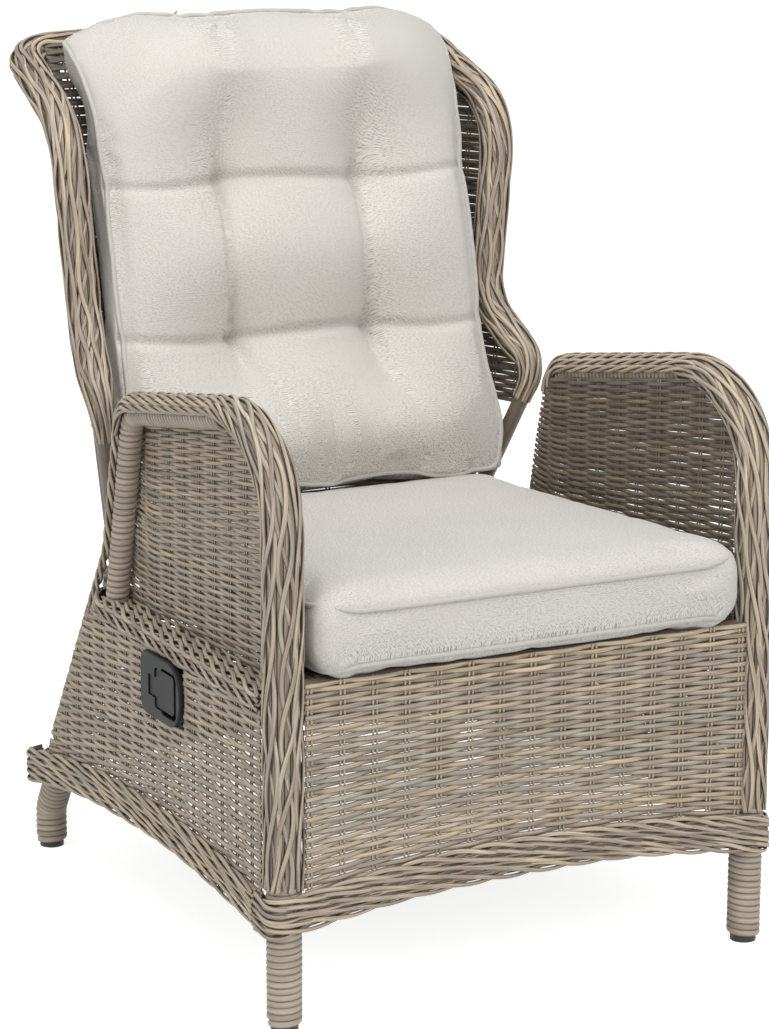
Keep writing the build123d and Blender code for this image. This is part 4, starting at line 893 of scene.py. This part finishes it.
def apply_modifiers(thing):
    """Keep what a thing's modifiers make as its own mesh."""
    made = bpy.data.meshes.new_from_object(thing.evaluated_get(bpy.context.evaluated_depsgraph_get()))
    thing.modifiers.clear()
    old, thing.data = thing.data, made
    bpy.data.meshes.remove(old)


def closed_copy(name, source, shrink, grain):
    """A copy of a CAD cushion, drawn in by shrink along its normals and remeshed in even cells."""
    thing = add_object(name, source.data.copy())
    thing.data.materials.clear()
    thing.modifiers.new("weld", "WELD").merge_threshold = 0.0002
    even = thing.modifiers.new("remesh", "REMESH")
    even.mode = "VOXEL"
    even.voxel_size = grain
    apply_modifiers(thing)
    set_vertices(thing, vertex_array(thing) - normal_array(thing) * shrink)
    return thing


def stuff_cushion(thing, pressure, cap):
    """Blow the cover up as cloth, move no point further than cap, and keep the result."""
    before = vertex_array(thing)
    puff = thing.modifiers.new("cloth", "CLOTH")
    puff.settings.quality = 4
    puff.settings.mass = 0.4
    puff.settings.tension_stiffness = puff.settings.compression_stiffness = 12
    puff.settings.bending_stiffness = 0.6
    puff.settings.use_pressure = True
    puff.settings.uniform_pressure_force = pressure
    puff.settings.effector_weights.gravity = 0
    puff.collision_settings.use_self_collision = False
    moments = range(1, 21)
    puff.point_cache.frame_start, puff.point_cache.frame_end = moments[0], moments[-1]
    for moment in moments:
        bpy.context.scene.frame_set(moment)
    apply_modifiers(thing)
    bpy.context.scene.frame_set(1)
    moved = vertex_array(thing) - before
    far = np.linalg.norm(moved, axis=1, keepdims=True)
    set_vertices(thing, before + moved * np.minimum(1, cap / np.maximum(far, 1e-9)))


def cushion_map(thing, unroll):
    """Write a UV map in metres from unroll(places, facings), for the yarns to follow."""
    laid = unroll(vertex_array(thing), normal_array(thing))
    corners = np.empty(len(thing.data.loops), np.int64)
    thing.data.loops.foreach_get("vertex_index", corners)
    layer = thing.data.uv_layers.new(name="UVMap")
    layer.uv.foreach_set("vector", laid[corners].ravel())
    thing.data.polygons.foreach_set("use_smooth", np.ones(len(thing.data.polygons), bool))


def finer(thing):
    """One level of subdivision, kept."""
    smoother = thing.modifiers.new("finer", "SUBSURF")
    smoother.levels = smoother.render_levels = 1
    apply_modifiers(thing)


def piping(name, thing, inside, ways, body, node_name):
    """A round cord of cloth along the closed line where rays from inside leave the cushion."""
    thick = 0.0060
    cover = BVHTree.FromObject(thing, bpy.context.evaluated_depsgraph_get())
    spots = np.array([cover.ray_cast(Vector(place), Vector(way))[0] for place, way in zip(inside, ways)])
    for turn in range(12):
        spots = (np.roll(spots, 1, axis=0) + 2 * spots + np.roll(spots, -1, axis=0)) / 4
    spots += 0.0014 * ways
    lines = np.concatenate([spots, spots[:1]])[None]
    outward = np.concatenate([ways, ways[:1]])[None]
    dress(strands(name, lines, outward, thick, thick, oval), warm_grey, body, "cushion_cloth", node_name)


def dress_cushion(thing, unroll, body, node_name):
    """Map and dress a cushion's cover."""
    cushion_map(thing, unroll)
    dress(thing, warm_grey, body, "cushion_cloth", node_name)


seat = closed_copy("seat_cushion_cover", node["seat_cushion"], 0.003, 0.006)
stuff_cushion(seat, 4, 0.007)
finer(seat)

# It fills the width between the arms in front, and its front edge hangs a little over the weave.
spots = vertex_array(seat)
spots[:, 0] *= 1 + 0.064 * smooth((0.10 - spots[:, 1]) / 0.38)
spots[:, 2] -= 0.0095 * smooth((0.400 - spots[:, 2]) / 0.015) * smooth((-0.36 - spots[:, 1]) / 0.025)
set_vertices(seat, spots)
seat_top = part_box("seat_cushion")[1][2]


def seat_unroll(spots, facing):
    """Top laid flat, with the sides folded out from it."""
    drop = seat_top - spots[:, 2]
    across = spots[:, 0] + np.sign(spots[:, 0]) * drop * np.abs(facing[:, 0])
    back = spots[:, 1] - drop * np.maximum(-facing[:, 1], 0) + drop * np.maximum(facing[:, 1], 0)
    return np.stack([across, back], axis=1)


dress_cushion(seat, seat_unroll, "chair", "seat_cushion")

# Two cords of piping, along the top edge and the bottom edge.
ring_corners = [(0, -0.362), (0.230, -0.362), (0.218, 0.118), (-0.218, 0.118), (-0.230, -0.362), (0, -0.362)]
ring = rounded_way(ring_corners, [0.012] * 4, 0.0015)[:-1]
along = unit(np.roll(ring, -1, axis=0) - np.roll(ring, 1, axis=0))
for word, rise, height in (("top", 0.85, 0.4330), ("bottom", -0.85, 0.4210)):
    ways = unit(np.stack([along[:, 1], -along[:, 0], np.full(len(ring), rise)], axis=1))
    inside = np.column_stack([ring, height - 0.016 * (ring[:, 1] + 0.362) / 0.48])
    piping(f"seat_piping_{word}", seat, inside, ways, "chair", "seat_cushion")

# ---------------------------------------------------------------- Back cushion
# A soft pad in the same cloth, drawn in at two rows of buttons, with folds that run from them.
back = closed_copy("back_cushion_cover", node["back_cushion"], 0.004, 0.006)
stuff_cushion(back, 3, 0.010)
finer(back)

# The two rows of tufts draw the cover in. Creases run along both rows, between the upper and the
# lower tufts, and fade out below; the top is filled to one even arch and the foot is fuller.
spots, facing = vertex_array(back), normal_array(back)
x, z = spots[:, 0], spots[:, 2]
front = smooth((-facing @ lean_behind - 0.15) / 0.5)
column = np.abs(x)
lower, upper = 0.662, 0.845
tuft_apart = 0.091


def dent(distance, width):
    """One across the middle of a dent, falling off to none within about twice its width."""
    return np.exp(-(distance / width) ** 2)


depth = 0 * x
for row, wave in ((lower, 1.0), (upper, 2.2)):
    line = row + 0.0045 * np.sin(x * 21 + wave)
    edgewise = 0.45 + 0.55 * smooth((0.235 - column) / 0.15)
    depth += 0.0095 * dent(z - line, 0.0065) * edgewise
    depth += 0.0040 * dent(z - line, 0.0260) * edgewise
    depth += 0.0110 * dent(np.hypot(x + tuft_apart, z - row), 0.0150)
    depth += 0.0110 * dent(np.hypot(x - tuft_apart, z - row), 0.0150)
between = smooth((z - lower) / 0.02) * smooth((upper - z) / 0.02)
below = np.clip((lower - z) / 0.15, 0, 1)
above = np.clip((z - upper) / 0.05, 0, 1)
for tuft in (-tuft_apart, tuft_apart):
    bowed = tuft - 0.009 * np.sin(np.pi * np.clip((z - lower) / (upper - lower), 0, 1))
    depth += (0.0090 * dent(x - bowed, 0.0062) + 0.0030 * dent(x - bowed, 0.024)) * between
    fold = dent(x - tuft - 0.045 * below * np.sign(-tuft + 0.2), 0.0090 + 0.010 * below)
    depth += 0.0070 * fold * (z < lower) * (1 - below)
    depth += 0.0030 * dent(x - tuft, 0.0100 + 0.020 * above) * (z > upper) * (1 - above)
foot = smooth((0.600 - z) / 0.06)
depth += 0.0055 * dent(x + 0.012 - 0.10 * (0.56 - z), 0.0120) * foot
depth -= 0.0050 * dent(x - 0.020 - 0.10 * (0.56 - z), 0.0160) * foot
depth -= 0.0045 * smooth((0.655 - z) / 0.04) * smooth((0.225 - column) / 0.06)
spots += (depth * front)[:, None] * lean_behind
crest = dent(column - tuft_apart, 0.0360) * smooth((z - 0.855) / 0.16) * smooth(facing[:, 2] + 0.7)
spots += facing * (0.0105 * crest)[:, None]
spots[:, 0] += 0.0060 * facing[:, 0] * smooth((0.950 - z) / 0.08)
spots[:, 2] += 0.0050 * smooth((z - 0.980) / 0.05) - 0.0085 * smooth((0.505 - z) / 0.03)
set_vertices(back, spots)


def back_unroll(spots, facing):
    """Front laid flat by height, with the sides folded out."""
    across = spots[:, 0] + np.sign(spots[:, 0]) * (spots[:, 1] - 0.1615) * np.abs(facing[:, 0])
    return np.stack([across, spots[:, 2] + 0.6 * spots[:, 1]], axis=1)


dress_cushion(back, back_unroll, "backrest", "back_cushion")

# Piping follows the seam between the cushion's face and its box sides.
row_z = np.array([0.470, 0.495, 0.559, 0.648, 0.737, 0.831, 0.896, 0.940, 0.965])
row_turn = np.radians([0, 6, 13, 15, 15, 15, 25, 43, 60])
row_half = np.array([0.254, 0.258, 0.258, 0.2565, 0.254, 0.254, 0.254, 0.258, 0.259])
row_seam = np.array([0.071, 0.076, 0.076, 0.071, 0.076, 0.076, 0.078, 0.071, 0.056])
rise = np.linspace(0, 8, 260)
z, turned_by, half, seam = (np.interp(rise, np.arange(9), row)
                            for row in (row_z, row_turn, row_half, row_seam))
side_seam = np.stack([half, back_face(z) - np.cos(turned_by) * seam, z + np.sin(turned_by) * seam], axis=1)
across = np.linspace(-1, 1, 222)[1:-1]
top_depth = 0.098 - 0.042 * across ** 4 - 0.004 * across ** 2
top_seam = np.stack([-0.257 * across, back_face(row_z[-1]) - np.cos(row_turn[-1]) * top_depth,
                     row_z[-1] + np.sin(row_turn[-1]) * top_depth], axis=1)
foot_seam = np.stack([0.252 * across, back_face(row_z[0]) - 0.078 + 0.006 * across ** 2, 0.466 + 0 * across],
                     axis=1)
aims = np.concatenate([side_seam, top_seam, (side_seam * (-1, 1, 1))[::-1], foot_seam])
core_z = np.clip(aims[:, 2], 0.54, 0.92)
core = np.stack([0.7 * aims[:, 0], back_face(core_z) - 0.052, core_z], axis=1)
piping("back_piping", back, aims + 0.3 * (core - aims), unit(aims - core), "backrest", "back_cushion")

# ---------------------------------------------------------------- Frame, lever and fittings
# Tubes and plates are powder coated, the glides and the lever are moulded plastic, and the spring's
# rod, the pins and the screws are bright steel. They keep their CAD shapes.


def plain_stuff(name, colour, rough, grain, depth, metal=0.0, mottled=0.12):
    """Coated metal or moulded plastic: one colour, faintly mottled, with a fine skin grain."""
    stuff, tree, shader = new_material(name)
    place = add_node(tree, "TexCoord", {})["Object"]
    skin_grain = add_node(tree, "TexNoise", {"Scale": grain, "Detail": 3, "Vector": place})["Fac"]
    cloud = add_node(tree, "TexNoise", {"Scale": 28, "Vector": place})["Fac"]
    shade = colour_ramp(tree, cloud, [(0.3, [c * (1 - mottled) for c in colour]),
                                      (0.7, [min(c * (1 + mottled), 1) for c in colour])])
    finish_shader(tree, shader, shade, skin_grain, 0.35, depth, Roughness=rough, Metallic=metal)
    return stuff


finishes = {
    "frame_metal": plain_stuff("brown_coating", (0.16, 0.125, 0.095), 0.45, 900, 0.0002),
    "foot_plastic": plain_stuff("black_nylon", (0.022, 0.022, 0.022), 0.5, 700, 0.0002),
    "bright_steel": plain_stuff("zinc_steel", (0.62, 0.61, 0.59), 0.28, 400, 0.00005, 1.0, 0.06),
    "lever_plastic": plain_stuff("charcoal_plastic", (0.014, 0.0155, 0.0155), 0.55, 1400, 0.0002),
    "black_metal": plain_stuff("black_coating", (0.02, 0.02, 0.02), 0.4, 900, 0.0002),
    "webbing": plain_stuff("webbing_cloth", (0.05, 0.045, 0.04), 0.9, 300, 0.0006),
    "woven_strand": row_cane,
    "braided_strand": braid_cane,
    "wrapped_strand": wrap_cane,
    "cushion_cloth": warm_grey,
}

# Painted shade: the lever's housing gets darker toward the bottom of its recess, where shade falls.
tree = finishes["lever_plastic"].node_tree
shader = tree.nodes["Principled BSDF"]
shader.inputs["Specular IOR Level"].default_value = 0.3
out_by = add_node(tree, "SeparateXYZ", {0: add_node(tree, "TexCoord", {})["Object"]})["X"]
colour = shader.inputs["Base Color"].links[0].from_socket
painted_recess_shade = carry_over(tree, out_by, (-0.3195, -0.3150), (1, 0.25))
recess_shaded_colour = add_node(tree, "VectorMath", {0: colour, "Scale": painted_recess_shade}, operation="SCALE")[0]
tree.links.new(recess_shaded_colour, shader.inputs["Base Color"])

# Each piece that keeps its CAD shape takes the finish of its slot.
slot_of = {part["node"]: part["material_slot"] for part in frame["record"]["subparts"]}
for name, thing in node.items():
    thing.data.materials.clear()
    thing.data.materials.append(finishes[slot_of[name]])
